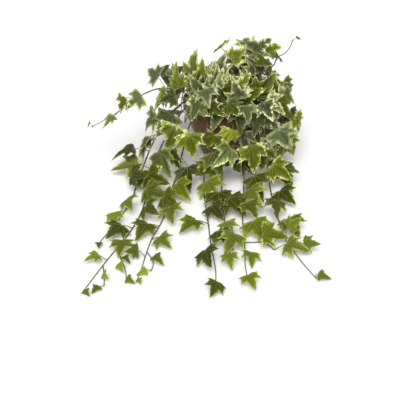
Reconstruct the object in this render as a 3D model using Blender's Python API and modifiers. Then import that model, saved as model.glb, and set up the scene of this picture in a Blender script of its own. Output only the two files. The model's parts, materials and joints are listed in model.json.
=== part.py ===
"""A potted variegated ivy: a tapered nursery pot, its soil, and leafy stems that mound over the rim
and trail along the surface that the pot stands on. Metres, +Z up. The origin is the centre of the
pot's flat underside, and the long trailing stems run towards -Y."""

import math
import random

import bmesh
import bpy
from mathutils import Vector, noise
from mathutils.bvhtree import BVHTree

# Driving sizes of the pot
POT_HEIGHT = 0.084
RIM_RADIUS = 0.068
BASE_RADIUS = 0.040
RIM_BAND = 0.011
RIM_PROUD = 0.0018
WALL = 0.0015
BASE_THICK = 0.0020
POT_SIDES = 28
SOIL_SIDES = 20
RIM_ROUNDING = 0.0007
FOOT_HEIGHT = 0.003
FOOT_INSET = 0.0008
DRAIN_HOLES = 6
DRAIN_SIDES = 6
DRAIN_RADIUS = 0.0040
DRAIN_RING = 0.025

# Driving sizes of the soil
SOIL_BELOW_RIM = 0.012
SOIL_CROWN = 0.004
SOIL_LUMP = 0.0012
SOIL_RINGS = (0.018, 0.036)
SOIL_EDGE = 0.058
LUMPS_PER_METRE = 70
GAP = 0.0003
STEM_DEPTH = 0.012
UPRIGHT_STRETCH = (0.002, 0.010)
ROUTE_STEPS = 12
HOLE_SIDES = 4

# Driving sizes of the stems and leaves
STEM_RADIUS = 0.00125
TIP_RADIUS = 0.00060
BLADE_THICK = 0.0009
STALK_HALF_WIDTH = 0.00065
STALK_HALF_THICK = 0.00050
MATURE_LEAF = 0.043
THREE_LOBED_BELOW = 0.018
CLEARANCE = 0.0005
TRIES = 110
LEAF_SPACING = 1.3
LAST_LEAF_AT = 0.985
LEAF_TAPER = 2.5
WINDOW_PULL = 0.62
LOW_PULL = 0.75

# How a stalk leaves its stem, and how far blades turn and hang
STALK_ASIDE = (0.2, 1.0)
STALK_UP = (0.5, 1.1)
STALK_ONWARD = 0.35
STALK_LEAST = 0.48
BLADE_SCATTER = 0.52
BLADE_DROOP = 0.5

# The ranges of a blade's shape, in shares of its length
FOLD = (0.04, 0.28)
CURL = (0.02, 0.34)
SIDE_CURL = 0.25
RIPPLE = (0.035, 0.075)
TWIST = (-0.28, 0.28)
SPREAD = (0.92, 1.06)
GOLDEN_ANGLE = math.radians(137.508)
MOUND_CENTRE = Vector((0.010, 0.0, 0.080))
MOUND_CORE = 0.050
MOUND_RISE = 0.085
CLEAR_OF_POT = 0.150
LEAST_RISE = 0.30

SOIL_TOP = POT_HEIGHT - SOIL_BELOW_RIM
HOLE_RADIUS = (STEM_RADIUS + 2 * GAP) / math.cos(math.pi / HOLE_SIDES)

# Half outlines of a blade in shares of its length, from beside the stalk to the tip
FIVE_LOBES = ((0.55, 0.06), (0.41, 0.19), (0.55, 0.52), (0.21, 0.395))
THREE_LOBES = ((0.46, 0.16), (0.22, 0.40))
BLADE_CENTRE = (0.0, 0.2)

# Stems that trail over the rim: the place in the soil, then the points of the route
TRAILS = {
    "trailing_stem_left_1": (
        (-0.0430, -0.0160),
        ((-0.063, -0.025, 0.092), (-0.088, -0.036, 0.072), (-0.112, -0.056, 0.035),
         (-0.128, -0.088, 0.003), (-0.134, -0.140, 0.0), (-0.143, -0.180, 0.0),
         (-0.155, -0.215, 0.0), (-0.170, -0.256, 0.0)),
    ),
    "trailing_stem_left_2": (
        (-0.0380, -0.0255),
        ((-0.056, -0.038, 0.092), (-0.078, -0.052, 0.072), (-0.100, -0.068, 0.035),
         (-0.115, -0.090, 0.003), (-0.115, -0.138, 0.0), (-0.124, -0.201, 0.0),
         (-0.139, -0.247, 0.0), (-0.156, -0.293, 0.0), (-0.177, -0.354, 0.0)),
    ),
    "trailing_stem_left_3": (
        (-0.0310, -0.0340),
        ((-0.0455, -0.0505, 0.092), (-0.058, -0.064, 0.070), (-0.068, -0.076, 0.032),
         (-0.077, -0.096, 0.003), (-0.085, -0.139, 0.0), (-0.088, -0.186, 0.0),
         (-0.103, -0.245, 0.0), (-0.109, -0.292, 0.0), (-0.115, -0.332, 0.0)),
    ),
    "trailing_stem_middle_1": (
        (-0.0190, -0.0420),
        ((-0.0277, -0.062, 0.092), (-0.034, -0.078, 0.070), (-0.036, -0.088, 0.030),
         (-0.037, -0.108, 0.003), (-0.036, -0.138, 0.0), (-0.031, -0.200, 0.0),
         (-0.027, -0.258, 0.0), (-0.022, -0.299, 0.0), (-0.022, -0.340, 0.0)),
    ),
    "trailing_stem_middle_2": (
        (-0.0065, -0.0455),
        ((-0.0095, -0.067, 0.092), (-0.012, -0.083, 0.070), (-0.012, -0.094, 0.030),
         (-0.012, -0.114, 0.003), (-0.012, -0.150, 0.0), (-0.009, -0.200, 0.0),
         (-0.006, -0.250, 0.0), (-0.003, -0.290, 0.0)),
    ),
    "trailing_stem_middle_3": (
        (0.0095, -0.0450),
        ((0.014, -0.0665, 0.092), (0.018, -0.083, 0.070), (0.019, -0.095, 0.030),
         (0.018, -0.116, 0.003), (0.017, -0.142, 0.0), (0.014, -0.188, 0.0),
         (0.015, -0.248, 0.0), (0.014, -0.297, 0.0), (0.016, -0.326, 0.0)),
    ),
    "trailing_stem_right_1": (
        (0.0245, -0.0390),
        ((0.036, -0.058, 0.092), (0.046, -0.074, 0.070), (0.051, -0.087, 0.030),
         (0.054, -0.106, 0.003), (0.056, -0.142, 0.0), (0.060, -0.187, 0.0),
         (0.067, -0.241, 0.0), (0.084, -0.293, 0.0), (0.098, -0.326, 0.0)),
    ),
    "trailing_stem_back_1": (
        (0.0230, 0.0400),
        ((0.034, 0.059, 0.092), (0.043, 0.074, 0.066), (0.049, 0.085, 0.028),
         (0.053, 0.102, 0.002), (0.060, 0.150, 0.0)),
    ),
    "trailing_stem_back_2": (
        (-0.0040, 0.0460),
        ((-0.006, 0.068, 0.092), (-0.008, 0.085, 0.066), (-0.008, 0.096, 0.028),
         (-0.007, 0.114, 0.002), (-0.004, 0.166, 0.0)),
    ),
    "trailing_stem_back_3": (
        (-0.0330, 0.0325),
        ((-0.048, 0.048, 0.092), (-0.060, 0.060, 0.066), (-0.066, 0.071, 0.028),
         (-0.068, 0.088, 0.002), (-0.062, 0.134, 0.0)),
    ),
}

# For each trail: its leaves, the lengths of the first and the last one, and the bare share before them
TRAIL_LEAVES = {
    "left_1": (9, (0.043, 0.011), 0.17),
    "left_2": (11, (0.044, 0.010), 0.19),
    "left_3": (11, (0.044, 0.010), 0.22),
    "middle_1": (9, (0.040, 0.024), 0.27),
    "middle_2": (8, (0.040, 0.024), 0.30),
    "middle_3": (10, (0.043, 0.022), 0.24),
    "right_1": (10, (0.044, 0.015), 0.20),
    "back_1": (4, (0.040, 0.018), 0.22),
    "back_2": (4, (0.040, 0.018), 0.22),
    "back_3": (4, (0.040, 0.018), 0.22),
}
ARM_ROOT, ARM_LEAVES, ARM_SIZES = (-0.046, -0.002), 6, (0.035, 0.012)
ARM_ROUTE = ((-0.064, -0.010, 0.098), (-0.091, -0.024, 0.111), (-0.115, -0.030, 0.108),
             (-0.142, -0.030, 0.090), (-0.166, -0.030, 0.072), (-0.199, -0.030, 0.053))
TENDRIL_ROOT, TENDRIL_LEAVES, TENDRIL_SIZES = (0.031, 0.010), 4, (0.027, 0.010)
TENDRIL_ROUTE = ((0.038, 0.006, 0.108), (0.047, 0.002, 0.125), (0.057, 0.000, 0.130),
                 (0.063, 0.000, 0.138), (0.066, 0.000, 0.147), (0.075, 0.000, 0.152),
                 (0.082, 0.000, 0.160), (0.087, 0.000, 0.174))

# Side shoots: for each stem that has some, the share of its length where each one starts, the points
# of its route, its leaves, and the lengths of the first and the last one
SHOOTS = {
    "trailing_stem_left_2": (
        (0.782, ((-0.139, -0.276), (-0.135, -0.290), (-0.130, -0.305), (-0.127, -0.325)), 3,
         (0.016, 0.012)),
        (0.871, ((-0.155, -0.311), (-0.153, -0.325), (-0.152, -0.339)), 2, (0.016, 0.014)),
    ),
    "trailing_stem_left_3": (
        (0.845, ((-0.100, -0.282), (-0.097, -0.295), (-0.099, -0.309)), 2, (0.019, 0.014)),
    ),
    "trailing_stem_middle_3": (
        (0.793, ((0.027, -0.248), (0.037, -0.247), (0.045, -0.254), (0.051, -0.265)), 3,
         (0.036, 0.030)),
    ),
}
SHOOT_RINGS = 7
SHOOT_BARE = 0.30
SHOOT_RADII = (0.00080, 0.00060)

# Short stems that hang over the rim, and some that spread level with it: each one's angle round the
# pot in degrees and its leaves, the distances and heights that they pass through, and the range of
# their last height. The level ones reach less far on the +X side
HANGING = ((273, 5), (292, 6), (312, 6), (322, 5), (336, 4), (40, 4), (75, 3), (112, 3), (150, 3))
HANGING_OUTLINE = ((0.060, 0.097), (0.073, 0.090), (0.081, 0.068))
HANGING_END = (0.083, (0.030, 0.052))
LEVEL = ((168, 4), (208, 4), (221, 4), (238, 5), (254, 5), (279, 5), (300, 5), (328, 5), (16, 4))
LEVEL_OUTLINE = ((0.052, 0.100), (0.068, 0.112))
LEVEL_END = (0.084, (0.098, 0.112))
LEVEL_REACH = 0.80
RIM_STEM_RING = 0.037
RIM_LEAF_SIZES = (0.92 * MATURE_LEAF, 0.68 * MATURE_LEAF)

# Upright stems: each pair of values is for the innermost and the outermost one
CROWN_STEMS = 5
CROWN_LEAVES = 9
CROWN_RING = 0.026
CROWN_HEIGHT = (0.164, 0.112)
CROWN_SPREAD = (0.008, 0.036)
CROWN_LEAN = (0.033, 0.012)
CROWN_LEAF_SIZES = (0.92 * MATURE_LEAF, 0.72 * MATURE_LEAF)

# For each kind of stem: its rings, and the share of its length that has no leaf
SLENDER, RIM, CROWN = (12, 0.28), (8, 0.30), (6, 0.22)
TRAIL_RINGS, BACK_RINGS = 14, 10


def mix(start, end, share):
    return start + (end - start) * share


def clamp(value, low=0.0, high=1.0):
    return max(low, min(high, value))


def clear_scene():
    for item in list(bpy.data.objects):
        bpy.data.objects.remove(item, do_unlink=True)


def new_collection(name):
    group = bpy.data.collections.new(name)
    bpy.context.scene.collection.children.link(group)
    return group


def new_material(name, colour, roughness):
    material = bpy.data.materials.new(name)
    material.use_nodes = True
    shader = material.node_tree.nodes["Principled BSDF"]
    shader.inputs["Base Color"].default_value = (*colour, 1.0)
    shader.inputs["Roughness"].default_value = roughness
    shader.inputs["Metallic"].default_value = 0.0
    return material


def mesh_object(name, vertices, faces, group):
    mesh = bpy.data.meshes.new(name)
    mesh.from_pydata([tuple(v) for v in vertices], [], faces)
    mesh.update()
    made = bpy.data.objects.new(name, mesh)
    group.objects.link(made)
    return made


def evaluated_mesh(source):
    graph = bpy.context.evaluated_depsgraph_get()
    return bpy.data.meshes.new_from_object(source.evaluated_get(graph))


def turned(name, profile, sides, group):
    """A profile of (radius, height) points from the axis, up the inside and down the outside."""
    edges = [(i, i + 1) for i in range(len(profile) - 1)]
    mesh = bpy.data.meshes.new(name)
    mesh.from_pydata([(radius, 0.0, height) for radius, height in profile], edges, [])
    made = bpy.data.objects.new(name, mesh)
    group.objects.link(made)
    screw = made.modifiers.new("turn", "SCREW")
    screw.steps = sides
    screw.render_steps = sides
    screw.use_merge_vertices = True
    screw.merge_threshold = 0.00001
    return made


def cylinder(name, radius, low, high, place, sides, group):
    bpy.ops.mesh.primitive_cylinder_add(
        vertices=sides, radius=radius, depth=high - low,
        location=(place[0], place[1], (low + high) / 2))
    made = bpy.context.object
    made.name = name
    for owner in list(made.users_collection):
        owner.objects.unlink(made)
    group.objects.link(made)
    made.hide_render = True
    made.display_type = "WIRE"
    return made


def cut(target, cutters):
    boolean = target.modifiers.new("cut", "BOOLEAN")
    boolean.operation = "DIFFERENCE"
    boolean.operand_type = "COLLECTION"
    boolean.collection = cutters
    boolean.solver = "EXACT"


def wall_radius(height):
    """The pot's outer radius below its rim band."""
    top = RIM_RADIUS - RIM_PROUD
    return mix(BASE_RADIUS, top, height / (POT_HEIGHT - RIM_BAND))


def make_pot(parts):
    band_foot = POT_HEIGHT - RIM_BAND
    inside = RIM_RADIUS - RIM_PROUD - WALL + RIM_ROUNDING / 2
    profile = [
        (0.0, BASE_THICK),
        (wall_radius(BASE_THICK) - WALL, BASE_THICK),
        (wall_radius(band_foot) - WALL, band_foot),
        (inside, POT_HEIGHT - RIM_ROUNDING),
        (inside + RIM_ROUNDING, POT_HEIGHT),
        (RIM_RADIUS - RIM_ROUNDING, POT_HEIGHT),
        (RIM_RADIUS, POT_HEIGHT - RIM_ROUNDING),
        (RIM_RADIUS - RIM_ROUNDING / 2, band_foot),
        (wall_radius(band_foot), band_foot - FOOT_INSET),
        (wall_radius(FOOT_HEIGHT), FOOT_HEIGHT),
        (BASE_RADIUS - FOOT_INSET, 0.0),
        (0.0, 0.0),
    ]
    pot = turned("pot", profile, POT_SIDES, parts)
    drains = new_collection("drain_hole_cutters")
    for number in range(DRAIN_HOLES):
        angle = math.tau * (number + 0.5) / DRAIN_HOLES
        place = (DRAIN_RING * math.cos(angle), DRAIN_RING * math.sin(angle))
        cylinder(f"drain_hole_{number + 1}", DRAIN_RADIUS, -BASE_THICK, BASE_THICK * 2, place,
                 DRAIN_SIDES, drains)
    cut(pot, drains)
    pot.data.materials.append(new_material("terracotta brown plastic", (0.19, 0.078, 0.038), 0.5))
    return pot


def soil_height(x, y):
    """The lumpy top of the soil, a little higher in the middle."""
    share = clamp(1.0 - math.hypot(x, y) / SOIL_EDGE)
    lump = noise.noise(Vector((x, y, 0.0)) * LUMPS_PER_METRE) * SOIL_LUMP * clamp(share * 6)
    return SOIL_TOP + SOIL_CROWN * share + lump


def make_soil(parts, stems):
    inner = WALL + GAP + GAP / 3
    profile = [(0.0, SOIL_TOP + SOIL_CROWN)]
    profile += [(ring, SOIL_TOP) for ring in SOIL_RINGS]
    profile += [
        (wall_radius(SOIL_TOP) - inner, SOIL_TOP),
        (wall_radius(BASE_THICK + GAP) - inner, BASE_THICK + GAP),
        (0.0, BASE_THICK + GAP),
    ]
    rough = turned("soil_shape", profile, SOIL_SIDES, parts)
    soil = bpy.data.objects.new("soil", evaluated_mesh(rough))
    parts.objects.link(soil)
    bpy.data.objects.remove(rough)
    for vertex in soil.data.vertices:
        if vertex.co.z > SOIL_TOP - SOIL_LUMP and vertex.co.xy.length < SOIL_EDGE:
            vertex.co.z = soil_height(vertex.co.x, vertex.co.y)
    holes = new_collection("stem_hole_cutters")
    for stem in stems:
        place = stem["points"][0]
        cylinder(f"hole_{stem['name']}", HOLE_RADIUS, place.z - 2 * GAP, POT_HEIGHT, place.xy,
                 HOLE_SIDES, holes)
    cut(soil, holes)
    soil.data.materials.append(new_material("dark soil", (0.030, 0.020, 0.014), 0.95))
    return soil


def smooth_route(points, steps=ROUTE_STEPS):
    """A curve through the points, each stretch in steps."""
    route = []
    last = len(points) - 1
    for i in range(last):
        before = points[max(i - 1, 0)]
        start, end = points[i], points[i + 1]
        after = points[min(i + 2, last)]
        for step in range(steps):
            t = step / steps
            route.append(0.5 * (
                2 * start + (end - before) * t
                + (2 * before - 5 * start + 4 * end - after) * t * t
                + (3 * start - before - 3 * end + after) * t ** 3))
    route.append(points[last])
    return route


def spaced(route, count):
    """Points at equal steps along the route."""
    lengths = [0.0]
    for a, b in zip(route, route[1:]):
        lengths.append(lengths[-1] + (b - a).length)
    made, at = [], 0
    for number in range(count):
        want = lengths[-1] * number / (count - 1)
        while at < len(route) - 2 and lengths[at + 1] < want:
            at += 1
        share = clamp((want - lengths[at]) / (lengths[at + 1] - lengths[at]))
        made.append(route[at].lerp(route[at + 1], share))
    return made


def new_stem(name, kind, root, route, leaves, sizes):
    """sizes holds the lengths of the first and the last leaf."""
    rings, bare = kind
    top = soil_height(*root)
    points = [Vector((*root, top + height)) for height in (-STEM_DEPTH, *UPRIGHT_STRETCH)]
    points += [Vector(point) for point in route]
    path = points[:1] + spaced(smooth_route(points)[ROUTE_STEPS:], rings - 1)
    for number, point in enumerate(path):
        lowest = mix(STEM_RADIUS, TIP_RADIUS, number / (rings - 1)) + GAP
        point.z = max(point.z, lowest)
    return {"name": name, "points": path, "radii": (STEM_RADIUS, TIP_RADIUS), "leaves": leaves,
            "sizes": sizes, "bare": bare}


def round_the_pot(radius, angle, height):
    return (radius * math.cos(angle), radius * math.sin(angle), height)


def rim_stems(word, places, outline, end, right_reach=1.0):
    """Short stems, each in one upright plane."""
    made = []
    for number, (degrees, leaves) in enumerate(places):
        angle = math.radians(degrees)
        reach = mix(1.0, right_reach, clamp(math.cos(angle)))
        last = (end[0], random.Random(f"{word} {number}").uniform(*end[1]))
        route = [round_the_pot(distance * reach, angle, height) for distance, height in (*outline, last)]
        root = round_the_pot(RIM_STEM_RING, angle, 0.0)[:2]
        made.append(new_stem(f"{word}_stem_{number + 1}", RIM, root, route, leaves,
                             RIM_LEAF_SIZES))
    return made


def crown_stems():
    """Upright stems by a golden angle rule: the inner ones stand tallest."""
    made = []
    for number in range(CROWN_STEMS):
        share = (number + 0.5) / CROWN_STEMS
        angle = number * GOLDEN_ANGLE + 0.5
        ring = CROWN_RING * math.sqrt(share)
        height = mix(*CROWN_HEIGHT, share)
        spread = mix(*CROWN_SPREAD, share)
        lean = Vector((mix(*CROWN_LEAN, share), 0.0, 0.0))
        root = round_the_pot(ring, angle, 0.0)[:2]
        middle = Vector(round_the_pot(ring + spread * 0.4, angle, mix(SOIL_TOP, height, 0.55)))
        end = Vector(round_the_pot(ring + spread, angle, height))
        route = [middle + lean * 0.4, end + lean]
        made.append(new_stem(f"crown_stem_{number + 1}", CROWN, root, route, CROWN_LEAVES,
                             CROWN_LEAF_SIZES))
    return made


def all_stems():
    made = []
    for name, (root, route) in TRAILS.items():
        leaves, sizes, bare = TRAIL_LEAVES[name.removeprefix("trailing_stem_")]
        kind = (BACK_RINGS if "back" in name else TRAIL_RINGS, bare)
        made.append(new_stem(name, kind, root, route, leaves, sizes))
    made.append(new_stem("left_arm", SLENDER, ARM_ROOT, ARM_ROUTE, ARM_LEAVES, ARM_SIZES))
    made.append(new_stem("right_tendril", SLENDER, TENDRIL_ROOT, TENDRIL_ROUTE, TENDRIL_LEAVES,
                         TENDRIL_SIZES))
    made += rim_stems("hanging", HANGING, HANGING_OUTLINE, HANGING_END)
    made += rim_stems("spreading", LEVEL, LEVEL_OUTLINE, LEVEL_END, LEVEL_REACH)
    return made + crown_stems()


def at_share(stem, share):
    """The place and heading at a share of the stem's length."""
    points = stem["points"]
    where = clamp(share) * (len(points) - 1)
    start = min(int(where), len(points) - 2)
    place = points[start].lerp(points[start + 1], where - start)
    return place, (points[start + 1] - points[start]).normalized()


def side_shoots(stem):
    """The shoots that branch off a stem and lie on the same surface."""
    made = []
    for number, (share, route, leaves, sizes) in enumerate(SHOOTS.get(stem["name"], ())):
        height = SHOOT_RADII[0] + GAP
        start = at_share(stem, share)[0]
        points = [Vector((*point, height)) for point in (start.xy, *route)]
        made.append({
            "name": f"{stem['name']}_shoot_{number + 1}",
            "points": spaced(smooth_route(points), SHOOT_RINGS),
            "radii": SHOOT_RADII,
            "leaves": leaves,
            "sizes": sizes,
            "bare": SHOOT_BARE,
        })
    return made


def light_side(place):
    """The direction that leaves at a place turn their upper face to: away from the mound, and a
    little towards the -Y side, where the light comes from."""
    away = Vector((place.x - MOUND_CENTRE.x, place.y, 0.0))
    distance = away.length
    if distance > 1e-6:
        away /= distance
    if place.z > SOIL_TOP:
        rise = LEAST_RISE + (place.z - MOUND_CENTRE.z) / MOUND_RISE
        return (away * clamp(distance / MOUND_CORE) + Vector((0, -WINDOW_PULL, rise))).normalized()
    beside_pot = clamp((CLEAR_OF_POT - distance) / MOUND_CORE)
    rise = mix(0.8, 0.55, beside_pot)
    pull = LOW_PULL * clamp(0.5 - away.y) * beside_pot
    return (away * mix(0.6, 1.0, beside_pot) + Vector((0, -pull, rise))).normalized()


def new_leaf(stem, number, attempt):
    """One leaf of a stem by rule. Each further try wanders more from the rule's own place."""
    draw = random.Random(f"{stem['name']} {number} {attempt}")
    wander = 0.25 + 0.75 * attempt / TRIES
    last = number == stem["leaves"] - 1
    order = (number + 0.5 + wander * draw.uniform(-0.45, 0.45)) / stem["leaves"]
    order = LAST_LEAF_AT if last else order
    root, heading = at_share(stem, mix(stem["bare"], 1.0, clamp(order) ** LEAF_SPACING))
    length = mix(*stem["sizes"], clamp(order) ** LEAF_TAPER) * draw.uniform(0.88, 1.08)
    length *= mix(1.0, 0.85, clamp(attempt / TRIES * 2 - 1))
    facing = light_side(root)
    side = heading.cross(facing).normalized() * (1 if number % 2 else -1)
    jitter = Vector((draw.uniform(-1, 1), draw.uniform(-1, 1), draw.uniform(-0.6, 1)))
    stalk = side * draw.uniform(*STALK_ASIDE) + facing * draw.uniform(*STALK_UP)
    stalk = (stalk + heading * STALK_ONWARD + jitter * wander).normalized()
    reach = length * draw.uniform(STALK_LEAST, STALK_LEAST * (1 + wander))
    joint = root + stalk * reach
    turn = Vector((draw.uniform(-1, 1), draw.uniform(-1, 1), draw.uniform(-1, 1)))
    normal = (light_side(joint) + turn * BLADE_SCATTER).normalized()
    ahead = stalk * 0.8 + heading * 0.7 + Vector((0, 0, -BLADE_DROOP)) + jitter * 0.3
    ahead = (ahead - normal * ahead.dot(normal)).normalized()
    return {
        "root": root,
        "joint": joint,
        "right": ahead.cross(normal).normalized(),
        "ahead": ahead,
        "normal": normal,
        "length": length,
        "fold": draw.uniform(*FOLD),
        "curl": draw.uniform(*CURL),
        "ripple": draw.uniform(*RIPPLE),
        "twist": draw.uniform(*TWIST),
        "spread": draw.uniform(*SPREAD),
    }


def blade_height(leaf, x, y):
    """How far the blade stands off its plane, in shares of its length: the halves fold up from the
    midrib, tips curl down, and the edge ripples up at each notch and down at each tip."""
    wave = leaf["ripple"] * math.hypot(x, y) * math.cos(8 * math.atan2(x, y))
    bend = leaf["curl"] * y * y + SIDE_CURL * x * x
    return leaf["fold"] * abs(x) - bend - wave + leaf["twist"] * x * y


def blade_point(leaf, x, y, depth):
    lift = blade_height(leaf, x, y) * leaf["length"] - depth
    across = leaf["right"] * x * leaf["spread"] + leaf["ahead"] * y
    return leaf["joint"] + across * leaf["length"] + leaf["normal"] * lift


def stalk_size(leaf):
    """Small leaves have thinner stalks."""
    return mix(0.6, 1.0, clamp(leaf["length"] / MATURE_LEAF))


def stalk_ring(leaf, spare):
    """The three corners of the stalk's root, inside the stem."""
    root = leaf["root"]
    along = (leaf["joint"] - root).normalized()
    wide = leaf["right"] - along * leaf["right"].dot(along)
    wide = wide.normalized() * (STALK_HALF_WIDTH * stalk_size(leaf) + spare)
    tall = wide.cross(along).normalized() * (STALK_HALF_THICK * stalk_size(leaf) + spare)
    return [root - wide + tall, root + wide + tall, root - tall]


def leaf_solid(leaf, spare=0.0):
    """Vertices and faces of one leaf: a lobed, rippled blade split alike on both faces, lofted into
    a three-sided stalk. spare makes it thicker all round, to test its clearance."""
    half = THREE_LOBES if leaf["length"] < THREE_LOBED_BELOW else FIVE_LOBES
    neck = stalk_size(leaf) * STALK_HALF_WIDTH / leaf["length"]
    outline = [(neck, 0.0), *half, (0.0, 1.0)]
    outline += [(-x, y) for x, y in reversed(half)] + [(-neck, 0.0)]
    count = len(outline)
    faces = []
    upper = [blade_point(leaf, x, y, -spare) for x, y in (*outline, BLADE_CENTRE)]
    lower = [blade_point(leaf, x, y, BLADE_THICK + spare) for x, y in (*outline, BLADE_CENTRE)]
    below = count + 1
    for i in range(count):
        j = (i + 1) % count
        faces.append((count, i, j))
        faces.append((below + count, below + j, below + i))
        if j:
            faces.append((i, below + i, below + j))
            faces.append((i, below + j, j))
    vertices = upper + lower
    left, right, low_right, low_left = count - 1, 0, below, below + count - 1
    top_left, top_right, low = (len(vertices) + corner for corner in range(3))
    vertices += stalk_ring(leaf, spare)
    faces += [
        (right, left, top_left), (right, top_left, top_right),
        (low_right, right, top_right), (low_right, top_right, low),
        (low_left, low_right, low),
        (left, low_left, low), (left, low, top_left),
        (low, top_right, top_left),
    ]
    return vertices, faces


def stem_tube(stem, group):
    """The stem as a bevelled curve, made a closed mesh."""
    curve = bpy.data.curves.new(stem["name"], "CURVE")
    curve.dimensions = "3D"
    curve.bevel_depth = 1.0
    curve.bevel_resolution = 0
    curve.use_fill_caps = True
    spline = curve.splines.new("POLY")
    points = stem["points"]
    spline.points.add(len(points) - 1)
    for number, point in enumerate(points):
        share = number / (len(points) - 1)
        spline.points[number].co = (*point, 1.0)
        spline.points[number].radius = mix(*stem["radii"], share)
    guide = bpy.data.objects.new(stem["name"] + "_guide", curve)
    group.objects.link(guide)
    mesh = evaluated_mesh(guide)
    bpy.data.objects.remove(guide)
    welded = bmesh.new()
    welded.from_mesh(mesh)
    bmesh.ops.remove_doubles(welded, verts=welded.verts, dist=0.000001)
    bmesh.ops.recalc_face_normals(welded, faces=welded.faces)
    welded.to_mesh(mesh)
    welded.free()
    tube = bpy.data.objects.new(stem["name"], mesh)
    group.objects.link(tube)
    return tube


def tree_of(vertices, faces):
    return BVHTree.FromPolygons([tuple(v) for v in vertices], faces)


def object_tree(item):
    graph = bpy.context.evaluated_depsgraph_get()
    return BVHTree.FromObject(item, graph)


def box_of(vertices):
    return [(min(v[i] for v in vertices), max(v[i] for v in vertices)) for i in range(3)]


def boxes_meet(one, other):
    return all(a[0] <= b[1] and b[0] <= a[1] for a, b in zip(one, other))


def place_leaves(stem, own_tree, fixed, placed):
    """Takes for each leaf the first try that lies clear of the floor and of everything else."""
    taken = []
    for number in range(stem["leaves"]):
        for attempt in range(TRIES):
            leaf = new_leaf(stem, number, attempt)
            vertices, faces = leaf_solid(leaf, CLEARANCE)
            if min(v.z for v in vertices) < GAP:
                continue
            tree = tree_of(vertices, faces)
            box = box_of(vertices)
            if any(tree.overlap(other) for other in fixed):
                continue
            if any(boxes_meet(box, b) and tree.overlap(t) for b, t in placed):
                continue
            blade = tree_of(vertices, [f for f in faces if max(f) < len(vertices) - 3])
            if blade.overlap(own_tree):
                continue
            placed.append((box, tree))
            taken.append(leaf)
            break
    return taken


def join_growth(parts, tube, shoots, leaves):
    """One Boolean union of the stem with its side shoots and all of its leaves."""
    blades = new_collection(tube.name + "_leaves")
    for shoot in shoots:
        parts.objects.unlink(shoot)
        blades.objects.link(shoot)
    for number, leaf in enumerate(leaves):
        mesh_object(f"{tube.name}_leaf_{number + 1}", *leaf_solid(leaf), blades)
    union = tube.modifiers.new("join", "BOOLEAN")
    union.operation = "UNION"
    union.operand_type = "COLLECTION"
    union.collection = blades
    union.solver = "MANIFOLD"
    joined = evaluated_mesh(tube)
    tube.modifiers.clear()
    tube.data = joined
    for joined_item in list(blades.objects):
        bpy.data.objects.remove(joined_item)
    bpy.data.collections.remove(blades)


def main():
    clear_scene()
    parts = new_collection("potted_ivy")
    stems = all_stems()
    pot = make_pot(parts)
    soil = make_soil(parts, stems)
    green = new_material("ivy green", (0.115, 0.160, 0.045), 0.45)
    families = [[stem, *side_shoots(stem)] for stem in stems]
    tubes = [[stem_tube(member, parts) for member in family] for family in families]
    bpy.context.view_layer.update()
    trees = [object_tree(tube) for family in tubes for tube in family]
    solid_trees = [object_tree(pot), object_tree(soil)]
    placed, number = [], 0
    for family, (tube, *shoots) in zip(families, tubes):
        leaves = []
        for member in family:
            others = solid_trees + trees[:number] + trees[number + 1:]
            leaves += place_leaves(member, trees[number], others, placed)
            number += 1
        join_growth(parts, tube, shoots, leaves)
        tube.data.materials.clear()
        tube.data.materials.append(green)


if __name__ == "__main__":
    main()
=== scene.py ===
"""Dresses the solids of a potted variegated ivy: fine lobed leaves with cream margins and veins,
barked stems, a moulded pot and lumpy soil, on a plain pale floor. Metres, +Z up. The origin is the
centre of the pot's flat underside, and the long trailing stems run towards -Y."""

import json
import math
import random

import bmesh
import bpy
from bpy.props import FloatProperty, FloatVectorProperty, IntProperty, PointerProperty
from bpy.types import Operator, Panel, PropertyGroup
from mathutils import Euler, Matrix, Vector, noise
from mathutils.kdtree import KDTree

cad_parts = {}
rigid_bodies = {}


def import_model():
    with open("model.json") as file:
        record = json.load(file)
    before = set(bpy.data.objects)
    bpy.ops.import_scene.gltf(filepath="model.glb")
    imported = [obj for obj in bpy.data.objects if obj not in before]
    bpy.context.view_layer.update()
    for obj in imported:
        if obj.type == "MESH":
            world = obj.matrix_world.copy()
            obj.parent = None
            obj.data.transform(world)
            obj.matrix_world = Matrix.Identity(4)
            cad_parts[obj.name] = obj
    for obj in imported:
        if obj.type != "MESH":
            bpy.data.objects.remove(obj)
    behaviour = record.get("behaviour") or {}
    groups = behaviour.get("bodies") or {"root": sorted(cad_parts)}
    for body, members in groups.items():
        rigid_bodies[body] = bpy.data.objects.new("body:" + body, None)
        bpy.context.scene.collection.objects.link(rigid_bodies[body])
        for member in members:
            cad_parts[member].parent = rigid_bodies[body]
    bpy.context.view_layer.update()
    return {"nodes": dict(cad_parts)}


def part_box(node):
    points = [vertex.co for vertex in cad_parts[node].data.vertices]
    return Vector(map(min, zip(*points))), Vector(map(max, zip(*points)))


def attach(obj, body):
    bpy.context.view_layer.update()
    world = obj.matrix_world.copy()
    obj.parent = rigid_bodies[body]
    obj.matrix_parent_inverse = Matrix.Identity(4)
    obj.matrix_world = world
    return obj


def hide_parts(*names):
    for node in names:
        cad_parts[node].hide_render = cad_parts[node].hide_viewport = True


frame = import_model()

bl_info = {
    "name": "Potted Ivy",
    "version": (1, 0, 0),
    "blender": (4, 5, 0),
    "location": "View3D > Sidebar > Potted Ivy",
    "description": "Fine leaves, stems, soil and pot for the potted ivy's solids",
    "category": "Object",
}

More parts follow.
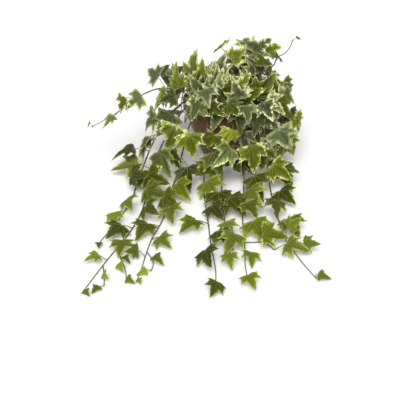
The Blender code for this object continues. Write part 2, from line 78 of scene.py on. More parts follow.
# Sizes of the pot: its height and its rim are read from its solid
POT_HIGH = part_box("pot")[1]
POT_HEIGHT = POT_HIGH.z
RIM_RADIUS = POT_HIGH.y
BASE_RADIUS = 0.040
RIM_BAND = 0.011
RIM_PROUD = 0.0018
BAND_DRAFT = 0.0003
WALL = 0.0015
BASE_THICK = 0.0020
POT_SIDES = 112
FOOT_HEIGHT = 0.003
FOOT_INSET = 0.0008
DRAIN_HOLES = 6
DRAIN_SIDES = 28
DRAIN_RADIUS = 0.0040
DRAIN_RING = 0.025
MERGE_WITHIN = 0.00001

# Sizes of the soil, with its lumps and finer crumbs. The crumbs' detail is the falloff, the spacing
# and the number of the noise's octaves
SOIL_TOP = POT_HEIGHT - 0.012
SOIL_CROWN = 0.004
SOIL_LUMP = 0.0012
SOIL_EDGE = 0.058
LUMPS_PER_METRE = 70
LUMP_FADE = 6
CRUMBS_PER_METRE = 260
CRUMB_DETAIL = (0.7, 2.1, 4)
CRUMB_HEIGHT = 0.0011
SOIL_SIDES = 80
SOIL_RINGS = 26
GAP = 0.0003

# Loose bits on the soil: how far out they lie and their sizes, then factors of each one's size
BITS_REACH = 0.064
BARK_SIZES, BARK_FLATNESS = (0.0010, 0.0030), 7 / 15
GRAIN_SIZES, GRAIN_FLATNESS = (0.0008, 0.0017), 0.9
BIT_LENGTHS = (0.9, 1.8)
BIT_WIDTHS = (0.6, 1.0)
BIT_EDGE = 1.5
BIT_TILT = 0.5
BIT_RISE = 0.4
DENTS_PER_METRE = 900
DENT_DEPTH = 0.45

# Sizes of the stems and leaves, the same as in the solids
STEM_DEPTH = 0.012
UPRIGHT_STRETCH = (0.002, 0.010)
ROUTE_STEPS = 12
STEM_RADIUS = 0.00125
TIP_RADIUS = 0.00060
MATURE_LEAF = 0.043
THREE_LOBED_BELOW = 0.018

# The leaf rule, the same as in the solids. First, how far each try wanders, where along the stem
# the leaves sit, and how long they are
TRIES = 110
LEAST_WANDER = 0.25
ORDER_SCATTER = 0.45
LEAF_SPACING = 1.3
LAST_LEAF_AT = 0.985
LEAF_TAPER = 2.5
LENGTH_SCATTER = (0.88, 1.08)
LATE_TRY_LENGTH = 0.85
JITTER_UP = (-0.6, 1)

# How far the stalk goes to the side, up and on along the stem, and its least share of the leaf
STALK_ASIDE = (0.2, 1.0)
STALK_UP = (0.5, 1.1)
STALK_ONWARD = 0.35
STALK_LEAST = 0.48

# Which way the blade points: what it takes from its stalk, its stem and chance, and its droop.
# Then how far its upper face strays from the light
AHEAD_BY_STALK = 0.8
AHEAD_BY_STEM = 0.7
AHEAD_BY_CHANCE = 0.3
BLADE_DROOP = 0.5
BLADE_SCATTER = 0.52

# Its form, in shares of its length
FOLD = (0.04, 0.28)
CURL = (0.02, 0.34)
SIDE_CURL = 0.25
RIPPLE = (0.035, 0.075)
RIPPLES_ROUND = 8
TWIST = (-0.28, 0.28)
SPREAD = (0.92, 1.06)

# Where upper faces turn to: away from the mound's centre, up, and towards the window in front. The
# pairs are for the leaves out on the surface and for those beside the pot
MOUND_CENTRE = Vector((0.010, 0.0, 0.080))
MOUND_CORE = 0.050
MOUND_RISE = 0.085
CLEAR_OF_POT = 0.150
LEAST_RISE = 0.30
LOW_RISE = (0.8, 0.55)
LOW_AWAY = (0.6, 1.0)
WINDOW_PULL = 0.62
LOW_PULL = 0.75
LOW_PULL_BEHIND = 0.5
LEAST_REACH = 1e-6

# How near a leaf's tip has to be to a corner of its solid
MATCH = 0.00008

# Stems that trail over the rim: the place in the soil, then the points of the route
TRAILS = {
    "trailing_stem_left_1": (
        (-0.0430, -0.0160),
        ((-0.063, -0.025, 0.092), (-0.088, -0.036, 0.072), (-0.112, -0.056, 0.035),
         (-0.128, -0.088, 0.003), (-0.134, -0.140, 0.0), (-0.143, -0.180, 0.0),
         (-0.155, -0.215, 0.0), (-0.170, -0.256, 0.0)),
    ),
    "trailing_stem_left_2": (
        (-0.0380, -0.0255),
        ((-0.056, -0.038, 0.092), (-0.078, -0.052, 0.072), (-0.100, -0.068, 0.035),
         (-0.115, -0.090, 0.003), (-0.115, -0.138, 0.0), (-0.124, -0.201, 0.0),
         (-0.139, -0.247, 0.0), (-0.156, -0.293, 0.0), (-0.177, -0.354, 0.0)),
    ),
    "trailing_stem_left_3": (
        (-0.0310, -0.0340),
        ((-0.0455, -0.0505, 0.092), (-0.058, -0.064, 0.070), (-0.068, -0.076, 0.032),
         (-0.077, -0.096, 0.003), (-0.085, -0.139, 0.0), (-0.088, -0.186, 0.0),
         (-0.103, -0.245, 0.0), (-0.109, -0.292, 0.0), (-0.115, -0.332, 0.0)),
    ),
    "trailing_stem_middle_1": (
        (-0.0190, -0.0420),
        ((-0.0277, -0.062, 0.092), (-0.034, -0.078, 0.070), (-0.036, -0.088, 0.030),
         (-0.037, -0.108, 0.003), (-0.036, -0.138, 0.0), (-0.031, -0.200, 0.0),
         (-0.027, -0.258, 0.0), (-0.022, -0.299, 0.0), (-0.022, -0.340, 0.0)),
    ),
    "trailing_stem_middle_2": (
        (-0.0065, -0.0455),
        ((-0.0095, -0.067, 0.092), (-0.012, -0.083, 0.070), (-0.012, -0.094, 0.030),
         (-0.012, -0.114, 0.003), (-0.012, -0.150, 0.0), (-0.009, -0.200, 0.0),
         (-0.006, -0.250, 0.0), (-0.003, -0.290, 0.0)),
    ),
    "trailing_stem_middle_3": (
        (0.0095, -0.0450),
        ((0.014, -0.0665, 0.092), (0.018, -0.083, 0.070), (0.019, -0.095, 0.030),
         (0.018, -0.116, 0.003), (0.017, -0.142, 0.0), (0.014, -0.188, 0.0),
         (0.015, -0.248, 0.0), (0.014, -0.297, 0.0), (0.016, -0.326, 0.0)),
    ),
    "trailing_stem_right_1": (
        (0.0245, -0.0390),
        ((0.036, -0.058, 0.092), (0.046, -0.074, 0.070), (0.051, -0.087, 0.030),
         (0.054, -0.106, 0.003), (0.056, -0.142, 0.0), (0.060, -0.187, 0.0),
         (0.067, -0.241, 0.0), (0.084, -0.293, 0.0), (0.098, -0.326, 0.0)),
    ),
    "trailing_stem_back_1": (
        (0.0230, 0.0400),
        ((0.034, 0.059, 0.092), (0.043, 0.074, 0.066), (0.049, 0.085, 0.028),
         (0.053, 0.102, 0.002), (0.060, 0.150, 0.0)),
    ),
    "trailing_stem_back_2": (
        (-0.0040, 0.0460),
        ((-0.006, 0.068, 0.092), (-0.008, 0.085, 0.066), (-0.008, 0.096, 0.028),
         (-0.007, 0.114, 0.002), (-0.004, 0.166, 0.0)),
    ),
    "trailing_stem_back_3": (
        (-0.0330, 0.0325),
        ((-0.048, 0.048, 0.092), (-0.060, 0.060, 0.066), (-0.066, 0.071, 0.028),
         (-0.068, 0.088, 0.002), (-0.062, 0.134, 0.0)),
    ),
}
# For each trail: its leaves, the lengths of the first and the last one, and the bare share of the
# stem before them
TRAIL_LEAVES = {
    "left_1": (9, (0.043, 0.011), 0.17),
    "left_2": (11, (0.044, 0.010), 0.19),
    "left_3": (11, (0.044, 0.010), 0.22),
    "middle_1": (9, (0.040, 0.024), 0.27),
    "middle_2": (8, (0.040, 0.024), 0.30),
    "middle_3": (10, (0.043, 0.022), 0.24),
    "right_1": (10, (0.044, 0.015), 0.20),
    "back_1": (4, (0.040, 0.018), 0.22),
    "back_2": (4, (0.040, 0.018), 0.22),
    "back_3": (4, (0.040, 0.018), 0.22),
}
ARM_ROOT, ARM_LEAVES, ARM_SIZES = (-0.046, -0.002), 6, (0.035, 0.012)
ARM_ROUTE = ((-0.064, -0.010, 0.098), (-0.091, -0.024, 0.111), (-0.115, -0.030, 0.108),
             (-0.142, -0.030, 0.090), (-0.166, -0.030, 0.072), (-0.199, -0.030, 0.053))
TENDRIL_ROOT, TENDRIL_LEAVES, TENDRIL_SIZES = (0.031, 0.010), 4, (0.027, 0.010)
TENDRIL_ROUTE = ((0.038, 0.006, 0.108), (0.047, 0.002, 0.125), (0.057, 0.000, 0.130),
                 (0.063, 0.000, 0.138), (0.066, 0.000, 0.147), (0.075, 0.000, 0.152),
                 (0.082, 0.000, 0.160), (0.087, 0.000, 0.174))

# Side shoots: for each stem that has some, the share of its length where each one starts, the
# points of its route, its leaves, and the lengths of the first and the last one
SHOOTS = {
    "trailing_stem_left_2": (
        (0.782, ((-0.139, -0.276), (-0.135, -0.290), (-0.130, -0.305), (-0.127, -0.325)), 3,
         (0.016, 0.012)),
        (0.871, ((-0.155, -0.311), (-0.153, -0.325), (-0.152, -0.339)), 2, (0.016, 0.014)),
    ),
    "trailing_stem_left_3": (
        (0.845, ((-0.100, -0.282), (-0.097, -0.295), (-0.099, -0.309)), 2, (0.019, 0.014)),
    ),
    "trailing_stem_middle_3": (
        (0.793, ((0.027, -0.248), (0.037, -0.247), (0.045, -0.254), (0.051, -0.265)), 3,
         (0.036, 0.030)),
    ),
}
SHOOT_RINGS = 7
SHOOT_BARE = 0.30
SHOOT_RADII = (0.00080, 0.00060)
SHOOT_YOUTH = 0.55

# Short stems that hang over the rim, and some that spread level with it: each one's angle round the
# pot in degrees and its leaves, the distances and heights that they pass through, and the range of
# their last height. The level ones reach less far on the +X side
HANGING = ((273, 5), (292, 6), (312, 6), (322, 5), (336, 4), (40, 4), (75, 3), (112, 3), (150, 3))
HANGING_OUTLINE = ((0.060, 0.097), (0.073, 0.090), (0.081, 0.068))
HANGING_END = (0.083, (0.030, 0.052))
LEVEL = ((168, 4), (208, 4), (221, 4), (238, 5), (254, 5), (279, 5), (300, 5), (328, 5), (16, 4))
LEVEL_OUTLINE = ((0.052, 0.100), (0.068, 0.112))
LEVEL_END = (0.084, (0.098, 0.112))
LEVEL_REACH = 0.80
RIM_STEM_RING = 0.037
RIM_LEAF_SIZES = (0.92 * MATURE_LEAF, 0.68 * MATURE_LEAF)

# Upright stems: each pair of values is for the innermost and the outermost one. The middle of a
# stem has a share of its spread and lean, and a share of its height
GOLDEN_ANGLE = math.radians(137.508)
CROWN_STEMS = 5
CROWN_LEAVES = 9
CROWN_TURN = 0.5
CROWN_MIDDLE_OUT = 0.4
CROWN_MIDDLE_UP = 0.55
CROWN_RING = 0.026
CROWN_HEIGHT = (0.164, 0.112)
CROWN_SPREAD = (0.008, 0.036)
CROWN_LEAN = (0.033, 0.012)
CROWN_LEAF_SIZES = (0.92 * MATURE_LEAF, 0.72 * MATURE_LEAF)

# For each kind of stem: its rings, and the share of its length that has no leaf
SLENDER, RIM, CROWN = (12, 0.28), (8, 0.30), (6, 0.22)
TRAIL_RINGS, BACK_RINGS = 14, 10

# The fine blade, in shares of its length. For each edge of a half, from the stalk to the tip: the
# point that the edge bulges towards, its end, and its steps
BLADE_NECK = (0.015, 0.0)
BLADE_HEART = (0.0, 0.02)
FIVE_LOBED = (
    ((0.26, -0.075), (0.55, 0.06), 9),
    ((0.45, 0.09), (0.41, 0.19), 4),
    ((0.45, 0.36), (0.55, 0.52), 7),
    ((0.345, 0.41), (0.21, 0.395), 7),
    ((0.205, 0.60), (0.0, 1.0), 13),
)
THREE_LOBED = (
    ((0.27, -0.06), (0.46, 0.16), 7),
    ((0.36, 0.32), (0.22, 0.40), 5),
    ((0.19, 0.60), (0.0, 1.0), 9),
)
RING_SHARES = (0.14, 0.34, 0.54, 0.72, 0.86, 0.95, 1.0)

# The angles of the lobe veins from the midrib, and where one's side veins end and the next's begin
LOBE_VEINS = (0.0, math.radians(46.6), math.radians(84))
VEIN_DIVIDES = (math.radians(24), math.radians(65))

# What each blade draws for itself, in shares of its length: how full it is between its lobes, how
# much longer one half is than the other, the up and down frill of its rim with the waves in a full
# turn, and the in and out waves of its outline. A second wave of the outline is finer
FULLNESS = (0.0, 0.10)
SKEW = 0.05
FRILL = (0.010, 0.024)
FRILL_WAVES = (11, 17)
FRILL_FROM_TIP = 3
EDGE_WAVE = (0.008, 0.018)
EDGE_WAVES_PER_LENGTH = (4.0, 5.5)
SECOND_WAVE = 0.6
SECOND_WAVES = 1.7
WAVE_FROM_STALK = 4

# Relief between the veins and the width of the ribs under them, in shares of the blade's length,
# then the depths of the ribs and of the blade's skin and rim, in metres
QUILT = 0.018
VEIN_HALF_WIDTH = 0.05
RIB_HALF_WIDTH = 0.016
RIB_DEPTH = 0.00035
SKIN_DEPTH = 0.00012
EDGE_THICK = 0.00022

# Which leaves are young and lime, which are top leaves, and how far round the stalk's end a blade
# is green
YOUNG_BELOW = 0.027
YOUNG_SPAN = 0.016
# Top leaves are greyer and paler: partly their own variegation, partly painted sunlight and sheen
TOP_FROM = 0.025
TOP_SPAN = 0.060
TOP_SCATTER = 0.15
HEART_REACH = 0.10

# The places of the leaves that are lime all over: the first hangs in front of the pot
LIME_LEAVES = (Vector((0.002, -0.093, 0.081)), Vector((0.043, -0.047, 0.058)))
LIME_REACH = 0.004
LIME_YOUTH = 0.80

# The fine stem, swollen at each leaf, and its end bud. It turns green and young towards the tip
STEM_SIDES = 10
STEM_RINGS_LEAST = 12
RING_SPACING = 0.0018
NODE_SWELL = 0.30
NODE_LENGTH = 0.0016
GREEN_RATE = 1.5
GREEN_LATE = 0.65
TIP_YOUTH = 0.9
STEM_SEED = 0.5
BUD_LENGTH = 0.0042
BUD_SWELL = 1.55
BUD_RINGS = 9
BUD_PLAIN_RINGS = 3
BUD_POINT = 1.6
BUD_BLUNT = 0.1

# The stalk leaves its stem straight for a share of its way, and meets the blade from behind and
# below. Small leaves have thinner ones
STALK_SIDES = 7
STALK_RINGS = 9
STALK_RADII = (0.00075, 0.00048)
STALK_SLIMMEST = 0.6
STALK_STRAIGHT = 0.45
STALK_BEHIND = 0.16
STALK_BELOW = 0.04
STALK_INTO_BLADE = 0.03
STALK_UNDER_SKIN = 0.0004
STALK_YOUTH = (0.55, 1.0)

# Short roots that ivy holds on with, round the foot of each leaf stalk on the older stems
ROOTLETS = (3, 7)
ROOTLET_RINGS_OFF = 2
ROOTLET_LENGTH = (0.0009, 0.0021)
ROOTLET_RADII = (0.00015, 0.00011, 0.00003)
ROOTLET_SIDES = 4
ROOTLET_TURN = (0.6, 1.5)
ROOTLET_BEND = 0.6
ROOTLET_SUNK = 0.5
ROOTLET_KNEE = 0.7
ROOTLET_YOUTH = 0.1
ROOTLET_YOUNGEST = 0.45

# The angles from which an edge is sharp
LEAFY_SHARP = math.radians(55)
POT_SHARP = math.radians(35)
BITS_SHARP = math.radians(40)

# The floor, where the key light comes from, and the camera, in the photograph's frame
FLOOR_HALF = 12.0
KEY_FROM = Vector((-0.06, -0.85, 1.0))
PHOTO_SIDE = 420
FOCAL_PIXELS = 867
SENSOR = 36.0
CAMERA_X = -0.0285
CAMERA_DISTANCE = 1.30
CAMERA_ELEVATION = math.radians(28)
HORIZON_SHIFT = 60


def mix(start, end, part):
    return start + (end - start) * part


def clamp(value, low=0.0, high=1.0):
    return max(low, min(high, value))


# Settings


def colour_setting(name, description, default):
    return FloatVectorProperty(name=name, description=description, subtype="COLOR", size=3,
                               min=0.0, max=1.0, default=default)


def share_setting(name, description, default, high=1.0):
    return FloatProperty(name=name, description=description, subtype="FACTOR", min=0.0, max=high,
                         default=default)


def length_setting(name, description, default):
    return FloatProperty(name=name, description=description, subtype="DISTANCE", unit="LENGTH",
                         min=0.0, precision=5, default=default)


class IvyLeafSettings(PropertyGroup):
    """Sizes and colours of the leaves."""

    thickness: length_setting("Thickness", "How thick a blade is in its middle", 0.00045)
    margin: share_setting("Margin", "Mean width of the pale margin, as a share of the leaf", 0.034,
                          high=0.3)
    deep_green: colour_setting("Deep green", "The darkest green, on trailing leaves",
                               (0.071, 0.090, 0.002))
    # The greens of the leaves on top are partly their own grey variegation, partly painted sunlight
    # and sheen
    grey_green_and_sheen: colour_setting("Grey green", "The greyer green of the leaves on top",
                               (0.065, 0.081, 0.034))
    soft_green: colour_setting("Soft green", "Lighter patches of trailing leaves",
                               (0.174, 0.199, 0.016))
    pale_green_and_sheen: colour_setting("Pale green", "Lighter patches of the leaves on top",
                               (0.258, 0.283, 0.120))
    cream: colour_setting("Cream", "The margin of the leaves on top", (0.65, 0.66, 0.35))
    yellow: colour_setting("Yellow", "The margin of trailing leaves", (0.52, 0.55, 0.12))
    lime: colour_setting("Lime", "Young leaves", (0.190, 0.230, 0.010))
    underside: colour_setting("Underside", "The matt lower face", (0.290, 0.330, 0.105))
    vein: colour_setting("Vein", "The pale veins", (0.380, 0.430, 0.140))


class IvyStemSettings(PropertyGroup):
    """Sizes and colours of the stems."""

    old_bark: colour_setting("Old bark", "The stem near the pot", (0.050, 0.036, 0.030))
    young_bark: colour_setting("Young bark", "The stem's tip and the leaf stalks",
                               (0.200, 0.225, 0.070))
    flecks: colour_setting("Flecks", "Dry flecks on the bark", (0.160, 0.120, 0.085))
    ridge: length_setting("Ridge", "Depth of the fine ridges along the bark", 0.00012)


class IvyPotSettings(PropertyGroup):
    """Sizes and colours of the pot."""

    plastic: colour_setting("Plastic", "The moulded pot", (0.168, 0.074, 0.020))
    dust: colour_setting("Dust", "Dried splashes and dust", (0.240, 0.175, 0.095))
    darker_foot: colour_setting("Darker foot", "The darker plastic towards the base",
                         (0.060, 0.030, 0.018))
    edge_round: length_setting("Edge rounding", "Radius of the rim's edges", 0.0006)


class IvySoilSettings(PropertyGroup):
    """Sizes and colours of the soil."""

    peat: colour_setting("Peat", "The dark soil", (0.030, 0.020, 0.014))
    crumbs: colour_setting("Crumbs", "Lighter crumbs in the soil", (0.090, 0.060, 0.040))
    bark: colour_setting("Bark bits", "Bits of bark in the soil", (0.110, 0.060, 0.032))
    bark_shade: colour_setting("Bark shade", "Darker patches of the bark bits",
                               (0.040, 0.022, 0.014))
    perlite: colour_setting("Perlite", "White grains in the soil", (0.700, 0.690, 0.640))
    perlite_shade: colour_setting("Perlite shade", "Darker patches of the white grains",
                                  (0.450, 0.420, 0.360))
    bark_bits: IntProperty(name="Bark bits", description="How many bits of bark lie on top",
                           min=0, default=260)
    grains: IntProperty(name="Grains", description="How many white grains lie on top", min=0,
                        default=70)


class IvyStageSettings(PropertyGroup):
    """The floor and the lights."""

    floor: colour_setting("Floor", "The plain pale floor", (0.90, 0.90, 0.895))
    sky: FloatProperty(name="Sky", description="Strength of the even light from all round",
                       min=0.0, default=0.50)
    key: FloatProperty(name="Key light", description="Strength of the soft light, high in front",
                       min=0.0, default=3.1)
    key_size: FloatProperty(name="Key size", description="How wide the key light looks",
                            subtype="ANGLE", unit="ROTATION", min=0.0, default=math.radians(40))


# Shader building


def wire(tree, value, socket):
    """Links an output to a socket, or sets the socket's own value."""
    if isinstance(value, bpy.types.NodeSocket):
        tree.links.new(value, socket)
    elif socket.type == "RGBA" and len(value) == 3:
        socket.default_value = (*value, 1.0)
    else:
        socket.default_value = value


def maths(tree, operation, *values):
    node = tree.nodes.new("ShaderNodeMath")
    node.operation = operation
    for value, socket in zip(values, node.inputs):
        wire(tree, value, socket)
    return node.outputs[0]


def plus(tree, first, second):
    return maths(tree, "ADD", first, second)


def minus(tree, first, second):
    return maths(tree, "SUBTRACT", first, second)


def times(tree, first, second):
    return maths(tree, "MULTIPLY", first, second)


def ramp_between(tree, value, low, high, first, second):
    """A soft step from first to second as the value goes from low to high."""
    node = tree.nodes.new("ShaderNodeMapRange")
    node.interpolation_type = "SMOOTHSTEP"
    for name, given in (("Value", value), ("From Min", low), ("From Max", high),
                        ("To Min", first), ("To Max", second)):
        wire(tree, given, node.inputs[name])
    return node.outputs["Result"]


def blend_colours(tree, amount, first, second, how="MIX"):
    node = tree.nodes.new("ShaderNodeMix")
    node.data_type = "RGBA"
    node.blend_type = how
    colour_inputs = [socket for socket in node.inputs if socket.type == "RGBA"]
    wire(tree, amount, node.inputs[0])
    wire(tree, first, colour_inputs[0])
    wire(tree, second, colour_inputs[1])
    return next(socket for socket in node.outputs if socket.type == "RGBA")


def noise_value(tree, vector, scale, detail, roughness):
    node = tree.nodes.new("ShaderNodeTexNoise")
    node.inputs["Scale"].default_value = scale
    node.inputs["Detail"].default_value = detail
    node.inputs["Roughness"].default_value = roughness
    wire(tree, vector, node.inputs["Vector"])
    return node.outputs["Fac"]


def split_vector(tree, vector):
    node = tree.nodes.new("ShaderNodeSeparateXYZ")
    wire(tree, vector, node.inputs[0])
    return node.outputs


def join_vector(tree, x, y, z):
    node = tree.nodes.new("ShaderNodeCombineXYZ")
    for value, socket in zip((x, y, z), node.inputs):
        wire(tree, value, socket)
    return node.outputs[0]


def attribute(tree, name):
    node = tree.nodes.new("ShaderNodeAttribute")
    node.attribute_type = "GEOMETRY"
    node.attribute_name = name
    return node.outputs["Vector"]


def scaled(tree, vector, *scales):
    node = tree.nodes.new("ShaderNodeVectorMath")
    node.operation = "MULTIPLY"
    wire(tree, vector, node.inputs[0])
    node.inputs[1].default_value = scales
    return node.outputs[0]


def object_place(tree):
    return tree.nodes.new("ShaderNodeTexCoord").outputs["Object"]


def new_group(name, inputs, outputs):
    """A shader node group. Each input is (name, kind, default), each output (name, kind)."""
    tree = bpy.data.node_groups.new(name, "ShaderNodeTree")
    for label, kind, default in inputs:
        socket = tree.interface.new_socket(label, in_out="INPUT", socket_type=f"NodeSocket{kind}")
        if default is not None:
            socket.default_value = (*default, 1.0) if kind == "Color" else default
    for label, kind in outputs:
        tree.interface.new_socket(label, in_out="OUTPUT", socket_type=f"NodeSocket{kind}")
    given = tree.nodes.new("NodeGroupInput").outputs
    put = tree.nodes.new("NodeGroupOutput").inputs
    return tree, given, put


def use_group(tree, group, **values):
    """Places a group in a material. Underscores in the keywords stand for spaces."""
    node = tree.nodes.new("ShaderNodeGroup")
    node.node_tree = group
    for name, value in values.items():
        wire(tree, value, node.inputs[name.replace("_", " ")])
    return node.outputs


def new_material(name, roughness):
    material = bpy.data.materials.new(name)
    material.use_nodes = True
    shader = material.node_tree.nodes["Principled BSDF"]
    shader.inputs["Roughness"].default_value = roughness
    return material, material.node_tree, shader.inputs


def kept(name, make, *settings):
    """A material is made once, and used by every piece of its finish."""
    return bpy.data.materials.get(name) or make(name, *settings)


def bump(tree, height, depth, inputs):
    """Relief of a depth in metres, given as a height from 0 to 1."""
    node = tree.nodes.new("ShaderNodeBump")
    node.inputs["Strength"].default_value = 1.0
    node.inputs["Distance"].default_value = depth
    wire(tree, height, node.inputs["Height"])
    wire(tree, node.outputs["Normal"], inputs["Normal"])


# The veins. A noise is (scale, detail, roughness). A soft step is (low, high, first, second): it
# goes from first to second while what it reads goes from low to high
VEIN_NOISE = (7.0, 1.0, 0.5)
VEIN_WAVER = 0.08
VEIN_REACH = 1.1
VEIN_TAPER = 0.012
LOBE_VEIN_STEP = (0.35, 1.2, 1.0, 0.0)
SIDE_VEINS = 9.0
SIDE_VEIN_STEP = (0.025, 0.075, 1.0, 0.0)
SIDE_VEIN_LEAN = 1.05
SIDE_VEIN_BEND = 0.9
SIDE_VEINS_TO_DIVIDE = (0.45, 0.90, 1.0, 0.0)
SIDE_VEINS_ACROSS = (0.08, 0.22, 1.0, 0.0)
LOBES_APART = 5.0
SIDES_APART = 3.0


def vein_group():
    """Veins of a palmate blade: lobe veins from the stalk, and side veins that branch off them.
    Branch is a value that stays the same along a side vein and grows from each to the next."""
    found = bpy.data.node_groups.get("palmate veins")
    if found:
        return found
    tree, given, put = new_group(
        "palmate veins", [("Place", "Vector", None)],
        [("Lobe Veins", "Float"), ("Side Veins", "Float"), ("Branch", "Float")])
    x, y = split_vector(tree, given["Place"])[:2]
    waver = minus(tree, noise_value(tree, given["Place"], *VEIN_NOISE), 0.5)
    turn = plus(tree, maths(tree, "ARCTAN2", x, y), times(tree, waver, VEIN_WAVER))
    angle = maths(tree, "ABSOLUTE", turn)
    radius = maths(tree, "SQRT", plus(tree, times(tree, x, x), times(tree, y, y)))
    nearest = 0.0
    for vein, before, divide in zip(LOBE_VEINS[1:], LOBE_VEINS, VEIN_DIVIDES):
        past = maths(tree, "GREATER_THAN", angle, divide)
        nearest = plus(tree, nearest, times(tree, past, vein - before))
    off = minus(tree, angle, nearest)
    along = times(tree, radius, maths(tree, "COSINE", off))
    across = maths(tree, "ABSOLUTE", times(tree, radius, maths(tree, "SINE", off)))
    thick = times(tree, minus(tree, VEIN_REACH, along), VEIN_TAPER)
    lobe = ramp_between(tree, maths(tree, "DIVIDE", across, thick), *LOBE_VEIN_STEP)
    lean = minus(tree, SIDE_VEIN_LEAN, times(tree, across, SIDE_VEIN_BEND))
    branch = minus(tree, along, times(tree, across, lean))
    between = maths(tree, "FRACT", times(tree, branch, SIDE_VEINS))
    apart = maths(tree, "ABSOLUTE", minus(tree, between, 0.5))
    side = ramp_between(tree, apart, *SIDE_VEIN_STEP)
    to_divide = maths(tree, "DIVIDE", maths(tree, "ABSOLUTE", off), LOBE_VEINS[1] / 2)
    fade = times(tree, ramp_between(tree, to_divide, *SIDE_VEINS_TO_DIVIDE),
                 ramp_between(tree, across, *SIDE_VEINS_ACROSS))
    which_side = maths(tree, "SIGN", times(tree, off, x))
    own = times(tree, plus(tree, times(tree, nearest, LOBES_APART), which_side), SIDES_APART)
    wire(tree, lobe, put["Lobe Veins"])
    wire(tree, times(tree, side, fade), put["Side Veins"])
    wire(tree, plus(tree, branch, own), put["Branch"])
    return tree


# The variegation: draws that are each leaf's own, the noises, and the soft steps that they go
# through. The margin's width goes by its teeth, by stretches, by leaf and by the leaf's height
PATTERN_DRAW, MARGIN_DRAW, GREY_DRAW, TONE_DRAW = 41.0, 3.7, 5.3, 7.31
STREAKS_PER_BRANCH = 17.0
STREAK_NOISE = (1.0, 3.0, 0.65)
STRETCH_NOISE = (3.4, 1.0, 0.5)
SPOT_NOISE = (5.5, 3.0, 0.6)
TEETH_LEAST, TEETH_STEP = 0.06, (0.36, 0.66, 0.0, 1.50)
STRETCH_LEAST, STRETCH_STEP = 0.08, (0.38, 0.66, 0.0, 1.95)
MARGIN_BY_LEAF = (0.0, 1.0, 0.35, 1.85)
MARGIN_BY_HEIGHT = (0.0, 1.0, 0.30, 0.85)
MARGIN_EDGE = (-0.006, 0.003, 1.0, 0.0)
SPOTS_BY_HEIGHT = 0.08
SPOT_REACH = 0.22
SPOT_EDGE = (0.025, 0.095, 0.0, 0.75)
GREY_BY_LEAF = (0.25, 0.75, 0.0, 1.1)
# Higher leaves turn greyer: partly their own variegation, partly painted sunlight and sheen
GREY_AND_SHEEN_BY_HEIGHT = (0.0, 1.0, 0.22, 1.0)
TONE_BY_LEAF = (0.0, 1.0, 0.45, 1.45)
YOUNG_MARGIN = 0.5


def leaf_draw(tree, seed, factor, step):
    """A value that is each leaf's own, and another for each factor."""
    return ramp_between(tree, maths(tree, "FRACT", times(tree, seed, factor)), *step)


def variegation_group():
    """The green heart of a blade and its pale margin. The margin's inner edge is jagged, with teeth
    that run out along the side veins, and it widens and all but ends from place to place."""
    found = bpy.data.node_groups.get("variegation")
    if found:
        return found
    tree, given, put = new_group(
        "variegation",
        [("Place", "Vector", None), ("Kind", "Vector", None), ("Branch", "Float", 0.0),
         ("Width", "Float", 0.03),
         ("Heart", "Color", (0.06, 0.09, 0.01)), ("Top Heart", "Color", (0.08, 0.11, 0.04)),
         ("Patch", "Color", (0.17, 0.2, 0.03)), ("Top Patch", "Color", (0.24, 0.28, 0.12)),
         ("Margin", "Color", (0.5, 0.55, 0.12)), ("Top Margin", "Color", (0.76, 0.77, 0.42)),
         ("Young", "Color", (0.23, 0.31, 0.02))],
        [("Colour", "Color")])
    x, y, seed = split_vector(tree, given["Place"])
    edge, youth, top = split_vector(tree, given["Kind"])
    own = times(tree, seed, PATTERN_DRAW)
    along_vein = join_vector(tree, times(tree, given["Branch"], STREAKS_PER_BRANCH), own, 0.0)
    on_blade = join_vector(tree, x, y, own)
    teeth = ramp_between(tree, noise_value(tree, along_vein, *STREAK_NOISE), *TEETH_STEP)
    wide = ramp_between(tree, noise_value(tree, on_blade, *STRETCH_NOISE), *STRETCH_STEP)
    jag = times(tree, plus(tree, TEETH_LEAST, teeth), plus(tree, STRETCH_LEAST, wide))
    by_leaf = times(tree, leaf_draw(tree, seed, MARGIN_DRAW, MARGIN_BY_LEAF),
                    ramp_between(tree, top, *MARGIN_BY_HEIGHT))
    width = times(tree, times(tree, jag, given["Width"]), by_leaf)
    beyond = minus(tree, edge, width)
    pale = ramp_between(tree, beyond, *MARGIN_EDGE)
    spots = plus(tree, noise_value(tree, on_blade, *SPOT_NOISE), times(tree, top, SPOTS_BY_HEIGHT))
    soft = ramp_between(tree, minus(tree, times(tree, spots, SPOT_REACH), beyond), *SPOT_EDGE)
    # The greyer, paler greens of higher leaves are partly their own variegation, partly painted
    # sunlight and sheen
    grey_and_sheen = times(tree, leaf_draw(tree, seed, GREY_DRAW, GREY_BY_LEAF),
                 ramp_between(tree, top, *GREY_AND_SHEEN_BY_HEIGHT))
    heart = blend_colours(tree, grey_and_sheen, given["Heart"], given["Top Heart"])
    patch = blend_colours(tree, grey_and_sheen, given["Patch"], given["Top Patch"])
    green = blend_colours(tree, soft, heart, patch)
    green = blend_colours(tree, youth, green, given["Young"])
    tone = leaf_draw(tree, seed, TONE_DRAW, TONE_BY_LEAF)
    green = blend_colours(tree, 1.0, green, join_vector(tree, tone, tone, tone), "MULTIPLY")
    margin = blend_colours(tree, top, given["Margin"], given["Top Margin"])
    margin = blend_colours(tree, times(tree, youth, YOUNG_MARGIN), margin, given["Young"])
    wire(tree, blend_colours(tree, pale, green, margin), put["Colour"])
    return tree


# The grain of natural and moulded surfaces
BROAD_NOISE = (1.0, 4.0, 0.6)
FINE_NOISE = (6.0, 5.0, 0.65)
GRAIN_STEP = (0.40, 0.62, 0.0, 1.0)


